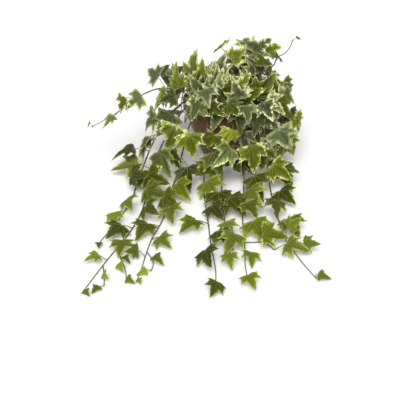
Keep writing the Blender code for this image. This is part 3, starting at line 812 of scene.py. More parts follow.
def grain_group():
    """Uneven tone and fine relief of a natural or moulded surface."""
    found = bpy.data.node_groups.get("uneven tone")
    if found:
        return found
    tree, given, put = new_group(
        "uneven tone",
        [("Place", "Vector", None), ("Colour", "Color", (0.5, 0.5, 0.5)),
         ("Other", "Color", (0.3, 0.3, 0.3)), ("Amount", "Float", 0.5)],
        [("Colour", "Color"), ("Height", "Float")])
    broad = noise_value(tree, given["Place"], *BROAD_NOISE)
    fine = noise_value(tree, given["Place"], *FINE_NOISE)
    where = ramp_between(tree, times(tree, plus(tree, broad, fine), 0.5), *GRAIN_STEP)
    amount = times(tree, where, given["Amount"])
    wire(tree, blend_colours(tree, amount, given["Colour"], given["Other"]), put["Colour"])
    wire(tree, fine, put["Height"])
    return tree


def grain(tree, per_metre, colour, other, amount):
    """The grain over an object, with so many of its broad patches to the metre."""
    place = scaled(tree, object_place(tree), per_metre, per_metre, per_metre)
    return use_group(tree, grain_group(), Place=place, Colour=colour, Other=other, Amount=amount)


def grained_material(name, roughness, relief, per_metre, colour, other, amount):
    """A plain finish with nothing on it but the grain. Relief is its depth, or None."""
    material, tree, inputs = new_material(name, roughness)
    made = grain(tree, per_metre, colour, other, amount)
    wire(tree, made["Colour"], inputs["Base Color"])
    if relief:
        bump(tree, made["Height"], relief, inputs)
    return material


# The finishes. Relief is in metres
# The leaves' gloss is kept low, and part of the top leaves' sheen is painted into their greens
# instead
LEAF_SPECULAR = 0.15
MOTTLE_STRETCH = (1, 1, 9)
MOTTLE_NOISE = (26.0, 3.0, 0.5)
MOTTLE_GLOSS = (0.3, 0.7, 0.36, 0.52)
MOTTLE_HEIGHT = 0.35
UPPER_RELIEF = 0.00025
UNDER_RELIEF = 0.0003
BARK_FLECKS_PER_METRE = 420
BARK_STRETCH = (14, 120, 1)
RIDGE_NOISE = (1.0, 3.0, 0.5)
PLASTIC_SPECULAR = 0.20
DUST_PER_METRE, DUST_AMOUNT = 45, 0.16
SPLASHES_PER_METRE, SPLASH_AMOUNT = 380, 0.14
# The plastic is darker towards the base, up to half the pot's height
DARKER_FOOT_STEP = (0.0, POT_HEIGHT * 0.5, 0.35, 0.0)
SCUFF_STRETCH = (160, 160, 240)
SCUFF_NOISE = (1.0, 4.0, 0.5)
SCUFF_GLOSS = (0.35, 0.7, 0.38, 0.60)
PLASTIC_RELIEF = 0.00003
SOIL_RELIEF = 0.0012
BITS_RELIEF = 0.0004
BARK_ROUGHNESS = 0.85
GRAIN_ROUGHNESS = 0.9
FLOOR_SHADE = 0.985


def veined_material(name, roughness, leaf, greens, side_veins, shown):
    """The material of one face of the blades, its base colour done. side_veins is how strong the
    side veins are beside the lobe veins, and shown how much of the colour the veins take over."""
    material, tree, inputs = new_material(name, roughness)
    inputs["Specular IOR Level"].default_value = LEAF_SPECULAR
    place, kind = attribute(tree, "blade_place"), attribute(tree, "blade_kind")
    veins = use_group(tree, vein_group(), Place=place)
    heart, top_heart, patch, top_patch = greens
    pattern = use_group(tree, variegation_group(), Place=place, Kind=kind, Branch=veins["Branch"],
                        Width=leaf.margin, Heart=heart, Top_Heart=top_heart, Patch=patch,
                        Top_Patch=top_patch, Margin=leaf.yellow, Top_Margin=leaf.cream,
                        Young=leaf.lime)
    both = maths(tree, "MAXIMUM", veins["Lobe Veins"], times(tree, veins["Side Veins"], side_veins))
    tinted = blend_colours(tree, times(tree, both, shown), pattern["Colour"], leaf.vein)
    wire(tree, tinted, inputs["Base Color"])
    return material, tree, inputs, place, both


def upper_leaf_material(name, leaf):
    greens = (leaf.deep_green, leaf.grey_green_and_sheen, leaf.soft_green, leaf.pale_green_and_sheen)
    material, tree, inputs, place, veins = veined_material(
        name, roughness=0.42, leaf=leaf, greens=greens, side_veins=0.45, shown=0.36)
    mottle = noise_value(tree, scaled(tree, place, *MOTTLE_STRETCH), *MOTTLE_NOISE)
    wire(tree, ramp_between(tree, mottle, *MOTTLE_GLOSS), inputs["Roughness"])
    bump(tree, minus(tree, times(tree, mottle, MOTTLE_HEIGHT), veins), UPPER_RELIEF, inputs)
    return material


def under_leaf_material(name, leaf):
    material, tree, inputs, _, veins = veined_material(
        name, roughness=0.62, leaf=leaf, greens=[leaf.underside] * 4, side_veins=0.6, shown=0.6)
    bump(tree, veins, UNDER_RELIEF, inputs)
    return material


def bark_material(name, stem):
    material, tree, inputs = new_material(name, roughness=0.60)
    place, kind = attribute(tree, "blade_place"), attribute(tree, "blade_kind")
    youth = split_vector(tree, kind)[1]
    base = blend_colours(tree, youth, stem.old_bark, stem.young_bark)
    flecked = grain(tree, BARK_FLECKS_PER_METRE, base, stem.flecks, amount=0.45)
    wire(tree, flecked["Colour"], inputs["Base Color"])
    ridges = noise_value(tree, scaled(tree, place, *BARK_STRETCH), *RIDGE_NOISE)
    bump(tree, ridges, stem.ridge, inputs)
    return material


def plastic_material(name, pot):
    material, tree, inputs = new_material(name, roughness=0.45)
    inputs["Specular IOR Level"].default_value = PLASTIC_SPECULAR
    place = object_place(tree)
    dusty = grain(tree, DUST_PER_METRE, pot.plastic, pot.dust, DUST_AMOUNT)
    splashed = grain(tree, SPLASHES_PER_METRE, dusty["Colour"], pot.dust, SPLASH_AMOUNT)
    # Darker towards the base
    darker_foot = ramp_between(tree, split_vector(tree, place)[2], *DARKER_FOOT_STEP)
    wire(tree, blend_colours(tree, darker_foot, splashed["Colour"], pot.darker_foot), inputs["Base Color"])
    scuffs = noise_value(tree, scaled(tree, place, *SCUFF_STRETCH), *SCUFF_NOISE)
    wire(tree, ramp_between(tree, scuffs, *SCUFF_GLOSS), inputs["Roughness"])
    bump(tree, splashed["Height"], PLASTIC_RELIEF, inputs)
    return material


def soil_material(name, soil):
    return grained_material(name, roughness=0.95, relief=SOIL_RELIEF, per_metre=330,
                            colour=soil.peat, other=soil.crumbs, amount=0.65)


def bit_material(name, tint, shade, roughness):
    return grained_material(name, roughness, relief=BITS_RELIEF, per_metre=700,
                            colour=tint, other=shade, amount=0.6)


def floor_material(name, stage):
    shade = tuple(FLOOR_SHADE * part for part in stage.floor)
    return grained_material(name, roughness=0.85, relief=None, per_metre=3,
                            colour=stage.floor, other=shade, amount=1.0)


# Where the stems run and the leaves sit, by the same rule as the solids


def wall_radius(height):
    """The pot's outer radius below its rim band."""
    top = RIM_RADIUS - RIM_PROUD
    return mix(BASE_RADIUS, top, height / (POT_HEIGHT - RIM_BAND))


def soil_height(x, y):
    """The lumpy top of the soil, a little higher in the middle."""
    inward = clamp(1.0 - math.hypot(x, y) / SOIL_EDGE)
    lump = noise.noise(Vector((x, y, 0.0)) * LUMPS_PER_METRE) * SOIL_LUMP
    return SOIL_TOP + SOIL_CROWN * inward + lump * clamp(inward * LUMP_FADE)


def smooth_route(points, steps=ROUTE_STEPS):
    """A curve through the points, each stretch in steps."""
    route = []
    last = len(points) - 1
    for i in range(last):
        before = points[max(i - 1, 0)]
        start, end = points[i], points[i + 1]
        after = points[min(i + 2, last)]
        for step in range(steps):
            t = step / steps
            route.append(0.5 * (
                2 * start + (end - before) * t
                + (2 * before - 5 * start + 4 * end - after) * t * t
                + (3 * start - before - 3 * end + after) * t ** 3))
    route.append(points[last])
    return route


def spaced(route, count):
    """Points at equal steps along the route."""
    lengths = [0.0]
    for a, b in zip(route, route[1:]):
        lengths.append(lengths[-1] + (b - a).length)
    made, at = [], 0
    for number in range(count):
        want = lengths[-1] * number / (count - 1)
        while at < len(route) - 2 and lengths[at + 1] < want:
            at += 1
        part = clamp((want - lengths[at]) / (lengths[at + 1] - lengths[at]))
        made.append(route[at].lerp(route[at + 1], part))
    return made


def new_stem(name, kind, root, route, leaves, sizes):
    """sizes holds the lengths of the first and the last leaf."""
    rings, bare = kind
    top = soil_height(*root)
    points = [Vector((*root, top + height)) for height in (-STEM_DEPTH, *UPRIGHT_STRETCH)]
    points += [Vector(point) for point in route]
    path = points[:1] + spaced(smooth_route(points)[ROUTE_STEPS:], rings - 1)
    for number, point in enumerate(path):
        lowest = mix(STEM_RADIUS, TIP_RADIUS, number / (rings - 1)) + GAP
        point.z = max(point.z, lowest)
    return {"name": name, "node": name, "points": path, "radii": (STEM_RADIUS, TIP_RADIUS),
            "leaves": leaves, "sizes": sizes, "bare": bare, "youth": 0.0}


def round_the_pot(radius, angle, height):
    return (radius * math.cos(angle), radius * math.sin(angle), height)


def trailing_stems():
    made = []
    for name, (root, route) in TRAILS.items():
        leaves, sizes, bare = TRAIL_LEAVES[name.removeprefix("trailing_stem_")]
        kind = (BACK_RINGS if "back" in name else TRAIL_RINGS, bare)
        made.append(new_stem(name, kind, root, route, leaves, sizes))
    return made


def slender_stems():
    return [
        new_stem("left_arm", SLENDER, ARM_ROOT, ARM_ROUTE, ARM_LEAVES, ARM_SIZES),
        new_stem("right_tendril", SLENDER, TENDRIL_ROOT, TENDRIL_ROUTE, TENDRIL_LEAVES,
                 TENDRIL_SIZES),
    ]


def rim_stems(word, places, outline, end, right_reach=1.0):
    """Short stems, each in one upright plane."""
    made = []
    for number, (degrees, leaves) in enumerate(places):
        angle = math.radians(degrees)
        reach = mix(1.0, right_reach, clamp(math.cos(angle)))
        last = (end[0], random.Random(f"{word} {number}").uniform(*end[1]))
        route = [round_the_pot(away * reach, angle, height) for away, height in (*outline, last)]
        root = round_the_pot(RIM_STEM_RING, angle, 0.0)[:2]
        made.append(new_stem(f"{word}_stem_{number + 1}", RIM, root, route, leaves,
                             RIM_LEAF_SIZES))
    return made


def crown_stems():
    """Upright stems by a golden angle rule: the inner ones stand tallest."""
    made = []
    for number in range(CROWN_STEMS):
        outward = (number + 0.5) / CROWN_STEMS
        angle = number * GOLDEN_ANGLE + CROWN_TURN
        ring = CROWN_RING * math.sqrt(outward)
        height = mix(*CROWN_HEIGHT, outward)
        spread = mix(*CROWN_SPREAD, outward)
        lean = Vector((mix(*CROWN_LEAN, outward), 0.0, 0.0))
        root = round_the_pot(ring, angle, 0.0)[:2]
        halfway = mix(SOIL_TOP, height, CROWN_MIDDLE_UP)
        middle = Vector(round_the_pot(ring + spread * CROWN_MIDDLE_OUT, angle, halfway))
        end = Vector(round_the_pot(ring + spread, angle, height))
        route = [middle + lean * CROWN_MIDDLE_OUT, end + lean]
        made.append(new_stem(f"crown_stem_{number + 1}", CROWN, root, route, CROWN_LEAVES,
                             CROWN_LEAF_SIZES))
    return made


def at_share(stem, part):
    """The place and heading at a share of the stem's length."""
    points = stem["points"]
    where = clamp(part) * (len(points) - 1)
    start = min(int(where), len(points) - 2)
    place = points[start].lerp(points[start + 1], where - start)
    return place, (points[start + 1] - points[start]).normalized()


def side_shoots(stem):
    """The shoots that branch off a stem and lie on the same surface."""
    made = []
    for number, (part, route, leaves, sizes) in enumerate(SHOOTS.get(stem["name"], ())):
        height = SHOOT_RADII[0] + GAP
        start = at_share(stem, part)[0]
        points = [Vector((*point, height)) for point in (start.xy, *route)]
        made.append({
            "name": f"{stem['name']}_shoot_{number + 1}",
            "node": stem["name"],
            "points": spaced(smooth_route(points), SHOOT_RINGS),
            "radii": SHOOT_RADII,
            "leaves": leaves,
            "sizes": sizes,
            "bare": SHOOT_BARE,
            "youth": SHOOT_YOUTH,
        })
    return made


def light_side(place):
    """The direction that leaves at a place turn their upper face to."""
    away = Vector((place.x - MOUND_CENTRE.x, place.y, 0.0))
    reach = away.length
    if reach > LEAST_REACH:
        away /= reach
    if place.z > SOIL_TOP:
        rise = LEAST_RISE + (place.z - MOUND_CENTRE.z) / MOUND_RISE
        return (away * clamp(reach / MOUND_CORE) + Vector((0, -WINDOW_PULL, rise))).normalized()
    beside_pot = clamp((CLEAR_OF_POT - reach) / MOUND_CORE)
    rise = mix(*LOW_RISE, beside_pot)
    pull = LOW_PULL * clamp(LOW_PULL_BEHIND - away.y) * beside_pot
    return (away * mix(*LOW_AWAY, beside_pot) + Vector((0, -pull, rise))).normalized()


def new_leaf(stem, number, attempt):
    """One leaf of a stem by rule. Each further try wanders more from the rule's own place."""
    draw = random.Random(f"{stem['name']} {number} {attempt}")
    wander = LEAST_WANDER + (1 - LEAST_WANDER) * attempt / TRIES
    last = number == stem["leaves"] - 1
    scatter = wander * draw.uniform(-ORDER_SCATTER, ORDER_SCATTER)
    order = LAST_LEAF_AT if last else (number + 0.5 + scatter) / stem["leaves"]
    along_stem = mix(stem["bare"], 1.0, clamp(order) ** LEAF_SPACING)
    root, heading = at_share(stem, along_stem)
    length = mix(*stem["sizes"], clamp(order) ** LEAF_TAPER) * draw.uniform(*LENGTH_SCATTER)
    length *= mix(1.0, LATE_TRY_LENGTH, clamp(attempt / TRIES * 2 - 1))
    facing = light_side(root)
    side = heading.cross(facing).normalized() * (1 if number % 2 else -1)
    jitter = Vector((draw.uniform(-1, 1), draw.uniform(-1, 1), draw.uniform(*JITTER_UP)))
    stalk = side * draw.uniform(*STALK_ASIDE) + facing * draw.uniform(*STALK_UP)
    stalk = (stalk + heading * STALK_ONWARD + jitter * wander).normalized()
    reach = length * draw.uniform(STALK_LEAST, STALK_LEAST * (1 + wander))
    joint = root + stalk * reach
    turn = Vector((draw.uniform(-1, 1), draw.uniform(-1, 1), draw.uniform(-1, 1)))
    normal = (light_side(joint) + turn * BLADE_SCATTER).normalized()
    ahead = stalk * AHEAD_BY_STALK + heading * AHEAD_BY_STEM + jitter * AHEAD_BY_CHANCE
    ahead.z -= BLADE_DROOP
    ahead = (ahead - normal * ahead.dot(normal)).normalized()
    return {
        "root": root,
        "joint": joint,
        "along_stem": along_stem,
        "right": ahead.cross(normal).normalized(),
        "ahead": ahead,
        "normal": normal,
        "length": length,
        "fold": draw.uniform(*FOLD),
        "curl": draw.uniform(*CURL),
        "ripple": draw.uniform(*RIPPLE),
        "twist": draw.uniform(*TWIST),
        "spread": draw.uniform(*SPREAD),
    }


def blade_height(leaf, x, y):
    """How far the blade stands off its plane, in shares of its length."""
    wave = leaf["ripple"] * math.hypot(x, y) * math.cos(RIPPLES_ROUND * math.atan2(x, y))
    bend = leaf["curl"] * y * y + SIDE_CURL * x * x
    return leaf["fold"] * abs(x) - bend - wave + leaf["twist"] * x * y


def blade_point(leaf, x, y, lift):
    """A point of the blade, lift metres off the upper face of its solid."""
    height = blade_height(leaf, x, y) * leaf["length"] + lift
    across = leaf["right"] * x * leaf["spread"] + leaf["ahead"] * y
    return leaf["joint"] + across * leaf["length"] + leaf["normal"] * height


def leaves_of(stem):
    """The leaves that the stem's solid holds: those tries whose tip is a corner of the solid."""
    corners = frame["nodes"][stem["node"]].data.vertices
    tree = KDTree(len(corners))
    for number, corner in enumerate(corners):
        tree.insert(corner.co, number)
    tree.balance()
    found = []
    for number in range(stem["leaves"]):
        for attempt in range(TRIES):
            leaf = new_leaf(stem, number, attempt)
            if tree.find(blade_point(leaf, 0.0, 1.0, 0.0))[2] < MATCH:
                found.append(leaf)
                break
    return found


# Mesh building. The slots are the places of a leafy piece's three materials
UPPER_SLOT, UNDER_SLOT, BARK_SLOT = 0, 1, 2


class Surface:
    """Collects the vertices, faces, material slots and surface attributes of one piece."""

    def __init__(self):
        self.vertices, self.faces, self.slots = [], [], []
        self.place, self.kind = [], []

    def add(self, vertices, places, kinds, faces, slot):
        start = len(self.vertices)
        self.vertices += vertices
        self.place += places
        self.kind += kinds
        self.faces += [tuple(start + corner for corner in face) for face in faces]
        self.slots += [slot] * len(faces)

    def to_piece(self, name, materials):
        mesh = bpy.data.meshes.new(name)
        mesh.from_pydata([tuple(vertex) for vertex in self.vertices], [], self.faces)
        for label, values in (("blade_place", self.place), ("blade_kind", self.kind)):
            data = mesh.attributes.new(label, "FLOAT_VECTOR", "POINT").data
            data.foreach_set("vector", [part for value in values for part in value])
        for material in materials:
            mesh.materials.append(material)
        mesh.polygons.foreach_set("material_index", self.slots)
        mesh.shade_smooth()
        mesh.set_sharp_from_angle(angle=LEAFY_SHARP)
        mesh.update()
        return to_scene(name, mesh)


def to_scene(name, mesh):
    piece = bpy.data.objects.new(name, mesh)
    bpy.context.scene.collection.objects.link(piece)
    return piece


def finish_piece(piece, slot, *nodes):
    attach(piece, "root")
    if nodes:
        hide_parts(*nodes)


def quadratic(start, control, end, part):
    return start.lerp(control, part).lerp(control.lerp(end, part), part)


def edge_distance(point, outline):
    """How far a point of the blade is from the outline."""
    least = 1.0
    for a, b in zip(outline, outline[1:]):
        line = b - a
        part = clamp((point - a).dot(line) / line.length_squared)
        least = min(least, (point - a - line * part).length)
    return least


def blade_template(edges):
    """The flat net of a blade: rings round the stalk's end that grow into the lobed outline. Each
    vertex is (place, ring share, distance to the edge, way out of the blade, run along the outline),
    and the faces are those of the upper side."""
    corner = Vector(BLADE_NECK)
    half = [corner]
    for control, end, steps in edges:
        end, control = Vector(end), Vector(control)
        half += [quadratic(corner, control, end, step / steps) for step in range(1, steps + 1)]
        corner = end
    outline = half + [Vector((-point.x, point.y)) for point in reversed(half[:-1])]
    count = len(outline)
    runs, ways_out = [0.0], []
    for a, b in zip(outline, outline[1:]):
        runs.append(runs[-1] + (b - a).length)
    for i in range(count):
        along = outline[(i + 1) % count] - outline[i - 1]
        ways_out.append(Vector((along.y, -along.x)).normalized())
    heart = Vector(BLADE_HEART)
    net = [(heart, 0.0, BLADE_NECK[0], Vector((0.0, 0.0)), 0.0)]
    for part in RING_SHARES:
        for point, way_out, run in zip(outline, ways_out, runs):
            place = heart.lerp(point, part)
            net.append((place, part, edge_distance(place, outline), way_out, run))
    faces = [(0, 1 + i, 1 + (i + 1) % count) for i in range(count)]
    for ring in range(len(RING_SHARES) - 1):
        inner, outer = 1 + ring * count, 1 + (ring + 1) * count
        for i in range(count):
            j = (i + 1) % count
            faces += [(inner + i, outer + i, outer + j), (inner + i, outer + j, inner + j)]
    return net, faces, count


TEMPLATES = {5: blade_template(FIVE_LOBED), 3: blade_template(THREE_LOBED)}


def vein_offset(x, y):
    """The distance across the blade from its nearest lobe vein."""
    angle = math.atan2(abs(x), y)
    vein = LOBE_VEINS[sum(angle > divide for divide in VEIN_DIVIDES)]
    return abs(math.hypot(x, y) * math.sin(angle - vein))


def blade_look(leaf, look):
    """What is the blade's own. The draws keep this order."""
    own = {
        "full": look.uniform(*FULLNESS),
        "frill": look.uniform(*FRILL),
        "frill_waves": look.uniform(*FRILL_WAVES),
        "frill_phase": look.uniform(0, math.tau),
        "skew": look.uniform(-SKEW, SKEW),
        "seed": look.random(),
    }
    lime = any((leaf["joint"] - place).length < LIME_REACH for place in LIME_LEAVES)
    own["youth"] = LIME_YOUTH if lime else clamp((YOUNG_BELOW - leaf["length"]) / YOUNG_SPAN)
    # How high the leaf sits: higher leaves take greyer greens, which are partly painted sunlight and
    # sheen
    top = clamp((leaf["joint"].z - TOP_FROM) / TOP_SPAN)
    own["top"] = clamp(top + look.uniform(-TOP_SCATTER, TOP_SCATTER))
    own["edge_wave"] = look.uniform(*EDGE_WAVE)
    own["edge_waves"] = look.uniform(*EDGE_WAVES_PER_LENGTH)
    own["edge_phase"] = look.uniform(0, math.tau)
    return own


def waved(own, flat, part, way_out, run):
    """Where a point of the flat net lies in the blade's own outline."""
    swell = 1.0 + own["full"] * part * (1 - math.cos(RIPPLES_ROUND * math.atan2(*flat))) / 2
    turn = math.tau * own["edge_waves"] * run
    waver = math.sin(turn + own["edge_phase"]) + SECOND_WAVE * math.sin(SECOND_WAVES * turn)
    waver *= own["edge_wave"] * part ** 3 * clamp(flat.length * WAVE_FROM_STALK)
    longer = 1 + own["skew"] * (1 if flat.x > 0 else -1)
    return flat.x * swell * longer + way_out.x * waver, flat.y * swell + way_out.y * waver


def relief(own, flat, part, off):
    """How far the upper face stands off the plain blade, in shares of its length: it is pillowed
    between the veins and frilled at its rim. off is the distance from the nearest lobe vein."""
    quilt = QUILT * (1 - math.exp(-(off / VEIN_HALF_WIDTH) ** 2)) * (1 - part * part)
    angle = math.atan2(*flat)
    frill = math.sin(own["frill_waves"] * angle + own["frill_phase"])
    frill *= own["frill"] * part * part * clamp(abs(angle) * FRILL_FROM_TIP)
    return quilt + frill


def add_blade(surface, leaf, look, settings):
    """Both faces and the rim of one blade. The faces are split alike, so they never cross."""
    net, faces, count = TEMPLATES[3 if leaf["length"] < THREE_LOBED_BELOW else 5]
    own = blade_look(leaf, look)
    upper, lower, places, kinds = [], [], [], []
    for flat, part, edge, way_out, run in net:
        x, y = waved(own, flat, part, way_out, run)
        off = vein_offset(x, y)
        lift = relief(own, flat, part, off) * leaf["length"] - SKIN_DEPTH
        rib = RIB_DEPTH * math.exp(-(off / RIB_HALF_WIDTH) ** 2) * (1 - part)
        thick = mix(settings.thickness, EDGE_THICK, part * part) + rib
        upper.append(blade_point(leaf, x, y, lift))
        lower.append(blade_point(leaf, x, y, lift - thick))
        places.append((*flat, own["seed"]))
        inward = edge + HEART_REACH * math.exp(-(flat.length / HEART_REACH) ** 2)
        kinds.append((inward, own["youth"], own["top"]))
    surface.add(upper, places, kinds, faces, UPPER_SLOT)
    surface.add(lower, places, kinds, [face[::-1] for face in faces], UNDER_SLOT)
    rim = len(net) - count
    sides = []
    for i in range(count):
        j = (i + 1) % count
        sides += [(i, count + i, count + j), (i, count + j, j)]
    surface.add(upper[rim:] + lower[rim:], places[rim:] * 2, kinds[rim:] * 2, sides, UPPER_SLOT)


def add_tube(surface, path, radii, sides, youths, seed):
    """A closed round tube along a path, with a radius and a youth at each of its points."""
    tangents = [(b - a).normalized() for a, b in zip(path, path[1:])]
    tangents.append(tangents[-1])
    across = tangents[0].orthogonal().normalized()
    vertices, places, kinds, faces = [], [], [], []
    run = 0.0
    for number, (point, tangent, radius, youth) in enumerate(zip(path, tangents, radii, youths)):
        across = (across - tangent * across.dot(tangent)).normalized()
        up = tangent.cross(across)
        run += (point - path[number - 1]).length if number else 0.0
        for side in range(sides):
            angle = math.tau * side / sides
            vertices.append(point + (across * math.cos(angle) + up * math.sin(angle)) * radius)
            places.append((side / sides, run, seed))
            kinds.append((0.0, youth, 0.0))
    for ring in range(len(path) - 1):
        low, high = ring * sides, (ring + 1) * sides
        for i in range(sides):
            j = (i + 1) % sides
            faces.append((low + i, low + j, high + j, high + i))
    faces.append(tuple(reversed(range(sides))))
    faces.append(tuple(range(len(vertices) - sides, len(vertices))))
    surface.add(vertices, places, kinds, faces, BARK_SLOT)


def bud_share(from_tip):
    """How thick the stem's end is: it swells into a bud, then comes to a blunt point."""
    left = clamp(from_tip / BUD_LENGTH)
    swell = mix(1.0, BUD_SWELL, math.sin(math.pi * left))
    return swell * clamp(left * BUD_POINT + BUD_BLUNT)


def add_stem(surface, stem, leaves):
    """The stem, swollen a little where each leaf stalk leaves it, with rootlets and an end bud."""
    smooth = smooth_route(stem["points"])
    length = sum((b - a).length for a, b in zip(smooth, smooth[1:]))
    path = spaced(smooth, max(STEM_RINGS_LEAST, round(length / RING_SPACING)))
    path = path[:-BUD_PLAIN_RINGS] + spaced(path[-BUD_PLAIN_RINGS:], BUD_RINGS)
    radii, youths = [], []
    run = 0.0
    for number, point in enumerate(path):
        run += (point - path[number - 1]).length if number else 0.0
        part = clamp(run / length)
        apart = (abs(part - leaf["along_stem"]) * length for leaf in leaves)
        swell = NODE_SWELL * sum(math.exp(-(gap / NODE_LENGTH) ** 2) for gap in apart)
        radius = mix(*stem["radii"], part) * (1 + min(swell, 2 * NODE_SWELL))
        radius *= bud_share(length - run)
        radii.append(radius)
        youth = mix(stem["youth"], TIP_YOUTH, clamp(part * GREEN_RATE - GREEN_LATE))
        youths.append(mix(1.0, youth, clamp((length - run) / BUD_LENGTH)))
        point.z = max(point.z, radius + GAP / 2)
    add_tube(surface, path, radii, STEM_SIDES, youths, STEM_SEED)
    for number, leaf in enumerate(leaves):
        look = random.Random(f"{stem['name']} rootlets {number}")
        add_rootlets(surface, path, radii, youths, leaf["root"], look)


def add_rootlets(surface, path, radii, youths, root, look):
    """Short roots on the shaded side of the stem, near the foot of a leaf stalk."""
    inner = range(ROOTLET_RINGS_OFF + 1, len(path) - BUD_RINGS)
    nearest = min(inner, key=lambda ring: (path[ring] - root).length)
    if youths[nearest] > ROOTLET_YOUNGEST:
        return
    for _ in range(look.randint(*ROOTLETS)):
        ring = nearest + look.randint(-ROOTLET_RINGS_OFF, ROOTLET_RINGS_OFF)
        heading = (path[ring + 1] - path[ring - 1]).normalized()
        side = heading.cross(light_side(path[ring])).normalized()
        shade = heading.cross(side)
        turn = look.choice((-1, 1)) * look.uniform(*ROOTLET_TURN)
        out = shade * math.cos(turn) + side * math.sin(turn)
        bend = heading * look.uniform(-ROOTLET_BEND, ROOTLET_BEND)
        reach = radii[ring] + look.uniform(*ROOTLET_LENGTH)
        ways = (out * radii[ring] * ROOTLET_SUNK, out * reach * ROOTLET_KNEE,
                (out + bend).normalized() * reach)
        points = [path[ring] + way for way in ways]
        for point in points:
            point.z = max(point.z, GAP)
        youths_here = [ROOTLET_YOUTH] * len(points)
        add_tube(surface, points, ROOTLET_RADII, ROOTLET_SIDES, youths_here, look.random())


def add_stalk(surface, leaf, look):
    """The leaf stalk, which leaves the stem straight and bends into the blade's midrib."""
    root, joint, ahead, normal = leaf["root"], leaf["joint"], leaf["ahead"], leaf["normal"]
    reach = (joint - root).length
    end = joint + ahead * leaf["length"] * STALK_INTO_BLADE - normal * STALK_UNDER_SKIN
    first = root.lerp(joint, STALK_STRAIGHT)
    second = joint - ahead * reach * STALK_BEHIND - normal * reach * STALK_BELOW
    path = []
    for number in range(STALK_RINGS):
        t = number / (STALK_RINGS - 1)
        path.append(root * (1 - t) ** 3 + first * 3 * t * (1 - t) ** 2
                    + second * 3 * t * t * (1 - t) + end * t ** 3)
    size = mix(STALK_SLIMMEST, 1.0, clamp(leaf["length"] / MATURE_LEAF))
    radii = [mix(*STALK_RADII, number / (STALK_RINGS - 1)) * size for number in range(STALK_RINGS)]
    youth = look.uniform(*STALK_YOUTH)
    add_tube(surface, path, radii, STALK_SIDES, [youth] * STALK_RINGS, look.random())


def make_leafy_stem(stem, leaf_settings, stem_settings):
    """One stem with its side shoots, stalks and leaves, as one piece."""
    surface = Surface()
    for member in (stem, *side_shoots(stem)):
        leaves = leaves_of(member)
        if not leaves:
            raise RuntimeError(f"no leaf of {member['name']} was found in its solid")
        add_stem(surface, member, leaves)
        for number, leaf in enumerate(leaves):
            look = random.Random(f"{member['name']} look {number}")
            add_blade(surface, leaf, look, leaf_settings)
            add_stalk(surface, leaf, look)
    materials = [
        kept("leaf upper face", upper_leaf_material, leaf_settings),
        kept("leaf underside", under_leaf_material, leaf_settings),
        kept("stem bark", bark_material, stem_settings),
    ]
    piece = surface.to_piece(f"ivy_{stem['name']}", materials)
    finish_piece(piece, "foliage", stem["name"])


def make_leafy_stems(stems, scene):
    for stem in stems:
        make_leafy_stem(stem, scene.ivy_leaf, scene.ivy_stem)


def turned(name, profile, sides):
    """A profile of (radius, height) points from the axis, up the inside and down the outside."""
    edges = [(i, i + 1) for i in range(len(profile) - 1)]
    mesh = bpy.data.meshes.new(name)
    mesh.from_pydata([(radius, 0.0, height) for radius, height in profile], edges, [])
    made = to_scene(name, mesh)
    screw = made.modifiers.new("turn", "SCREW")
    screw.steps = sides
    screw.render_steps = sides
    screw.use_merge_vertices = True
    screw.merge_threshold = MERGE_WITHIN
    return made


def apply_modifiers(piece):
    graph = bpy.context.evaluated_depsgraph_get()
    mesh = bpy.data.meshes.new_from_object(piece.evaluated_get(graph))
    piece.modifiers.clear()
    piece.data = mesh
    mesh.shade_smooth()
    mesh.set_sharp_from_angle(angle=POT_SHARP)


def rounded(corner, before, after, radius, steps=4):
    """A profile's corner, rounded by a curve that starts and ends a radius away."""
    corner, before, after = Vector(corner), Vector(before), Vector(after)
    start = corner + (before - corner).normalized() * radius
    end = corner + (after - corner).normalized() * radius
    return [tuple(quadratic(start, corner, end, step / steps)) for step in range(steps + 1)]


def pot_profile(edge_round):
    """The section of the pot's wall as (radius, height) points, its corners rounded."""
    band_foot = POT_HEIGHT - RIM_BAND
    corners = [
        (0.0, BASE_THICK),
        (wall_radius(BASE_THICK) - WALL, BASE_THICK),
        (wall_radius(band_foot) - WALL, band_foot),
        (RIM_RADIUS - RIM_PROUD - WALL, POT_HEIGHT),
        (RIM_RADIUS, POT_HEIGHT),
        (RIM_RADIUS - BAND_DRAFT, band_foot),
        (wall_radius(band_foot), band_foot - FOOT_INSET),
        (wall_radius(FOOT_HEIGHT), FOOT_HEIGHT),
        (BASE_RADIUS - FOOT_INSET, 0.0),
        (0.0, 0.0),
    ]
    profile = [corners[0]]
    for before, corner, after in zip(corners, corners[1:], corners[2:]):
        profile += rounded(corner, before, after, edge_round)
    return profile + [corners[-1]]


def drain_cutters():
    """A collection of round bars where the drain holes are cut."""
    drains = bpy.data.collections.new("drain_hole_cutters")
    bpy.context.scene.collection.children.link(drains)
    for number in range(DRAIN_HOLES):
        angle = math.tau * (number + 0.5) / DRAIN_HOLES
        mesh = bpy.data.meshes.new("drain_hole")
        shape = bmesh.new()
        place = Matrix.Translation(round_the_pot(DRAIN_RING, angle, BASE_THICK / 2))
        bmesh.ops.create_cone(shape, cap_ends=True, segments=DRAIN_SIDES, radius1=DRAIN_RADIUS,
                              radius2=DRAIN_RADIUS, depth=BASE_THICK * 3, matrix=place)
        shape.to_mesh(mesh)
        shape.free()
        drains.objects.link(bpy.data.objects.new(f"drain_hole_{number + 1}", mesh))
    return drains


def make_pot(settings):
    pot = turned("moulded_pot", pot_profile(settings.edge_round), POT_SIDES)
    drains = drain_cutters()
    cut = pot.modifiers.new("drain holes", "BOOLEAN")
    cut.operation = "DIFFERENCE"
    cut.operand_type = "COLLECTION"
    cut.collection = drains
    cut.solver = "EXACT"
    apply_modifiers(pot)
    for cutter in list(drains.objects):
        bpy.data.objects.remove(cutter)
    bpy.data.collections.remove(drains)
    pot.data.materials.clear()
    pot.data.materials.append(kept("moulded plastic", plastic_material, settings))
    finish_piece(pot, "pot_plastic", "pot")


